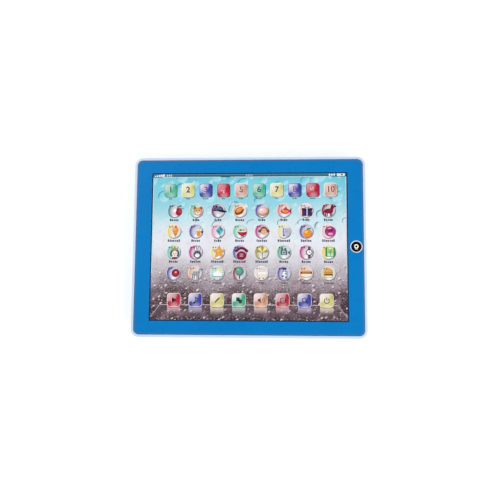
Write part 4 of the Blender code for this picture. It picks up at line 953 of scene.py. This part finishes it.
def print_number_keys(glossy, matt):
    keys, figures = Inks("number_keys"), Inks("number_figures")
    wide, high = NUMBER_KEYS["wide"] / MM, NUMBER_KEYS["high"] / MM
    half = NUMBER_KEYS["wide"] / 2
    tile = block(0.0, 0.0, 2.0, 2.0 * high / wide, 0.42)
    face = block(0.0, 0.0, 1.84, 2.0 * high / wide - 0.16, 0.36)
    for i, x in enumerate(key_centres(NUMBER_KEYS, 10)):
        base, bevel, figure, gloss, framed = NUMBER_LOOKS[i % 5]
        base = colour(base)
        y = NUMBER_KEYS["y"]
        keys.lay(tile, colour(bevel), 1, (x - 0.4 * MM, y + 0.4 * MM), half)
        keys.lay(tile, darker(base, 0.13), 2, (x + 0.55 * MM, y - 0.65 * MM), half)
        keys.lay(tile, colour(bevel) if framed else base, 3, (x, y), half)
        keys.lay(face, base, 4, (x, y), half, gloss)
        place = (x - 0.1 * MM, y + 0.3 * MM)
        edge = (place[0] - 0.4 * MM, place[1] - 0.35 * MM)
        figures.lay_number(str(i + 1), tint("white"), 5, edge, 6.2 * MM)
        figures.lay_number(str(i + 1), colour(figure), 6, place, 6.2 * MM)
        lay_caption(figures, x, y - high / 2 * MM - 2.0 * MM, 3 + (i * 7) % 3, tint("slate"), 1.3)
    keys.done(glossy)
    figures.done(matt)


def print_picture_keys(ball, matt):
    """Round badges like glass balls, each with two small marks and its picture."""
    badges, pictures, captions = Inks("picture_badges"), Inks("picture_drawings"), Inks("picture_captions")
    radius = PICTURE_KEYS["radius"]
    disc = oval(0.0, 0.0, 1.0, sides=40)
    for row, line in enumerate(PICTURES):
        y = PICTURE_KEYS["y"] - row * PICTURE_KEYS["row"]
        for x, (draw, base, right, up, size) in zip(key_centres(PICTURE_KEYS, 8), line):
            shade = colour("#7E8699") if row < 3 else colour("#352C38")
            badges.lay(disc, shade, 1, (x + 0.35 * MM, y - 0.5 * MM), radius)
            badges.lay(disc, tint(base), 2, (x, y), radius, 0.1 if row == 3 else 0.04)
            for mark, width in ((-0.6, 0.13), (-0.24, 0.1)):
                shade = darker(tint(base), 0.3)
                pictures.lay(block(mark, 0.62, width, 0.24, 0.05), shade, 3, (x, y), radius)
                pictures.lay(block(mark, 0.6, 1.9 * width, 0.09, 0.04), shade, 3.5, (x, y), radius)
            middle = (x + right * radius, y + up * radius)
            for depth, (shade, outline) in enumerate(draw()):
                pictures.lay(outline, tint(shade), 4 + 0.5 * depth, middle, size * radius)
            shade = colour("#3A3C52") if row < 3 else colour("#5A4D59")
            letters = min(7, max(4, len(draw.__name__)))
            lay_caption(captions, x, y - radius - 2.7 * MM, letters, shade, 2.05 if row < 3 else 1.5)
    badges.done(ball)
    pictures.done(matt)
    captions.done(matt)


def print_function_keys(glossy, matt):
    keys, symbols = Inks("function_keys"), Inks("function_symbols")
    half = FUNCTION_KEYS["wide"] / 2
    tile = block(0.0, 0.0, 2.0, 2.0, 0.42)
    for x, (draw, base) in zip(key_centres(FUNCTION_KEYS, 8), FUNCTIONS):
        y = FUNCTION_KEYS["y"]
        keys.lay(tile, darker(tint(base), 0.12), 2, (x + 0.45 * MM, y - 0.8 * MM), half)
        keys.lay(tile, tint("cream"), 3, (x, y), half)
        gloss = {"key red": 0.56, "key green": 0.92}.get(base, 0.75)
        keys.lay(block(0.0, 0.0, 2.0, 2.0, 0.4), tint(base), 4, (x, y), 0.93 * half, gloss)
        keys.lay(block(0.0, -0.42, 1.78, 0.44, 0.12), darker(tint(base), 0.9), 4.5, (x, y), half, 0.12)
        for outline in draw():
            symbols.lay(outline, tint("white"), 5, (x - 0.25 * MM, y + 0.25 * MM), half)
            symbols.lay(outline, darker(tint(base), 0.18), 6, (x, y), half)
    keys.done(glossy)
    symbols.done(matt)


def print_dock(matt):
    """The pale outline of the glass shelf that the function keys stand on."""
    dock = Inks("dock_outline")
    top, low = DOCK_TOP / MM, DOCK_LOW / MM
    half_top, half_low = DOCK_HALF_TOP / MM, DOCK_HALF_LOW / MM
    dock.lay(stroke(-half_top, top, half_top, top, 0.7), colour("#C6BDC4"), 1)
    for side in (-1, 1):
        dock.lay(stroke(side * half_top, top, side * half_low, low, 0.7), colour("#B4AAB2"), 1)
    dock.done(matt)


def print_status_strip(matt):
    """The dark strip along the top, with bars, dots and a small battery."""
    strip = Inks("status_strip")
    low, high, half = STATUS_LOW / MM, WINDOW[1] / MM, WINDOW[0] / MM
    middle, tall = (low + high) / 2 - 0.2, high - low
    strip.lay(block(0.0, (low + high) / 2, 2 * half, tall), colour("#2C6E86"), 1)
    strip.lay(block(0.0, middle + 0.25 * tall, 2 * half, 0.3 * tall), colour("#5F93A9"), 2)
    strip.lay(block(-56.0, low + 0.2, 72.0, 0.5, 0.2), colour("#D9F2F6"), 2)
    strip.lay(block(28.0, low + 0.2, 116.0, 0.5, 0.2), colour("#E6F4F6"), 2)
    for i in range(5):
        bar = block(-99.6 + 2.3 * i, middle - 0.8 + 0.22 * i, 1.7, 1.0 + 0.44 * i, 0.2)
        strip.lay(bar, tint("white"), 3)
    for i in range(3):
        strip.lay(block(-86.8 + 2.1 * i, middle - 0.1, 1.4, 2.2 - 0.4 * (i % 2), 0.4), tint("silver"), 3)
    for i in range(4):
        strip.lay(oval(-3.0 + 2.0 * i, middle, 0.6, sides=12), tint("silver"), 3)
    strip.lay(block(96.0, middle, 8.2, 2.8, 0.5), tint("white"), 3)
    strip.lay(block(95.4, middle, 5.6, 1.6, 0.3), colour("#2C6E86"), 4)
    strip.lay(block(94.4, middle, 3.4, 1.2, 0.2), tint("white"), 5)
    for i in range(3):
        strip.lay(block(84.3 + 2.4 * i, middle, 1.6, 2.1, 0.3), tint("white"), 3)
    strip.done(matt)


def print_sheet_border(matt):
    """The dark line where the sheet goes under the bezel, and a pale one inside it at both sides."""
    border = Inks("sheet_border")
    half, high = WINDOW[0] / MM, WINDOW[1] / MM
    wide, pale, pale_low = 1.2, 0.9, -28.0
    shade, shine = colour("#143C66"), colour("#D3E6EF")
    for side in (-1, 1):
        inner = side * (half - wide - pale / 2)
        line = block(inner, (STATUS_LOW / MM + pale_low) / 2, pale, STATUS_LOW / MM - pale_low)
        border.lay(line, shine, 1)
        border.lay(block(side * (half - wide / 2), 0.0, wide, 2 * high), shade, 3.5)
        border.lay(block(0.0, side * (high - wide / 2), 2 * half, wide), shade, 4)
    border.done(matt)


# ---- small details of the mouldings ------------------------------------------------------------------

def button_mark(matt):
    """A small ring and a dash, moulded a tenth of a millimetre proud of the button's dish."""
    middle = (CAP_LOW + CAP_HIGH) / 2
    mark = Inks("button_mark", dish_height())
    place = (middle.x, middle.y)
    mark.lay(band(0.0, 0.3, 1.15, 2.25, -180, 179), tint("white"), 9.5, place)
    mark.lay(stroke(-1.5, -2.5, 1.5, -2.5, 0.7), tint("white"), 10, place)
    mark.done(matt, "home_button", "black_plastic")


def soft_dome():
    """Gives the rubber dome under the home button its own copy of its mesh."""
    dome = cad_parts["button_dome"]
    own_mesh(dome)


def dish_height():
    """How high the button's face is at its middle."""
    middle = (CAP_LOW + CAP_HIGH) / 2
    above = Vector((middle.x, middle.y, CAP_HIGH.z + MM))
    hit, place, _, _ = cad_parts["home_button_cap"].ray_cast(above, Vector((0, 0, -1)))
    return place.z


# ---- stage -------------------------------------------------------------------------------------------

def add_camera():
    """Almost straight above the sheet, tipped a little towards the near edge and the right."""
    data = bpy.data.cameras.new("camera")
    data.lens = 43.2
    data.sensor_width = 36.0
    camera = add_object("camera", data)
    camera.location = (34.5 * MM, -76.1 * MM, BEZEL_HIGH.z + 616.6 * MM)
    camera.rotation_euler = [math.radians(a) for a in (6.657, 3.009, 0.393)]
    bpy.context.scene.camera = camera


def add_lamp(name, place, wide, watts):
    """A square lamp that faces the origin."""
    data = bpy.data.lights.new(name, "AREA")
    data.shape = "SQUARE"
    data.size = wide
    data.energy = watts
    lamp = add_object(name, data)
    lamp.location = place
    lamp.rotation_euler = Vector(place).to_track_quat("Z", "Y").to_euler()


def add_sky():
    """White all round, dim overhead, so that the gloss facing the camera stays deep."""
    world = bpy.data.worlds.new("studio")
    world.use_nodes = True
    bpy.context.scene.world = world
    tree = world.node_tree
    places = tree.nodes.new("ShaderNodeTexCoord")
    parts = tree.nodes.new("ShaderNodeSeparateXYZ")
    height = tree.nodes.new("ShaderNodeMapRange")
    shade = tree.nodes.new("ShaderNodeMix")
    shade.data_type = "RGBA"
    height.inputs["From Min"].default_value = 0.72
    height.inputs["From Max"].default_value = 0.93
    shade.inputs[6].default_value = (1.0, 1.0, 1.0, 1.0)
    shade.inputs[7].default_value = (0.1, 0.1, 0.105, 1.0)
    tree.links.new(places.outputs["Generated"], parts.inputs[0])
    tree.links.new(parts.outputs[2], height.inputs["Value"])
    tree.links.new(height.outputs[0], shade.inputs[0])
    tree.links.new(shade.outputs[2], tree.nodes["Background"].inputs["Color"])
    tree.nodes["Background"].inputs["Strength"].default_value = 1.0


def add_floor():
    """A white lit table, wide enough to reach the horizon of a low view."""
    surface = Surface("white_table", 0.9, specular=0.1)
    surface.paint(surface.mix(surface.noise(0.4, 2.0), colour("#F4F4F4"), colour("#FAFAFA")))
    surface.shader.inputs["Emission Color"].default_value = (1.0, 1.0, 1.0, 1.0)
    surface.shader.inputs["Emission Strength"].default_value = 0.2
    mesh = bmesh.new()
    bmesh.ops.create_grid(mesh, x_segments=8, y_segments=8, size=6.0)
    data = bpy.data.meshes.new("floor")
    mesh.to_mesh(data)
    mesh.free()
    data.materials.append(surface.material)
    floor = add_object("floor", data)
    floor.location.z = CAD_BOX[0][2] - 0.05 * MM


def main():
    bpy.context.scene.view_settings.view_transform = "Standard"
    add_camera()
    add_sky()
    add_lamp("key", (0.9, -0.8, 0.9), 1.0, 9.0)
    add_lamp("fill", (-0.9, 0.6, 0.9), 1.2, 5.0)
    add_floor()
    finish_nodes()
    matt = printed_ink("matt_ink")
    glossy = printed_ink("tile_ink", "tile")
    print_number_keys(glossy, matt)
    print_picture_keys(printed_ink("ball_ink", "ball"), matt)
    print_function_keys(glossy, matt)
    print_dock(matt)
    print_status_strip(matt)
    print_sheet_border(matt)
    button_mark(matt)
    soft_dome()


main()
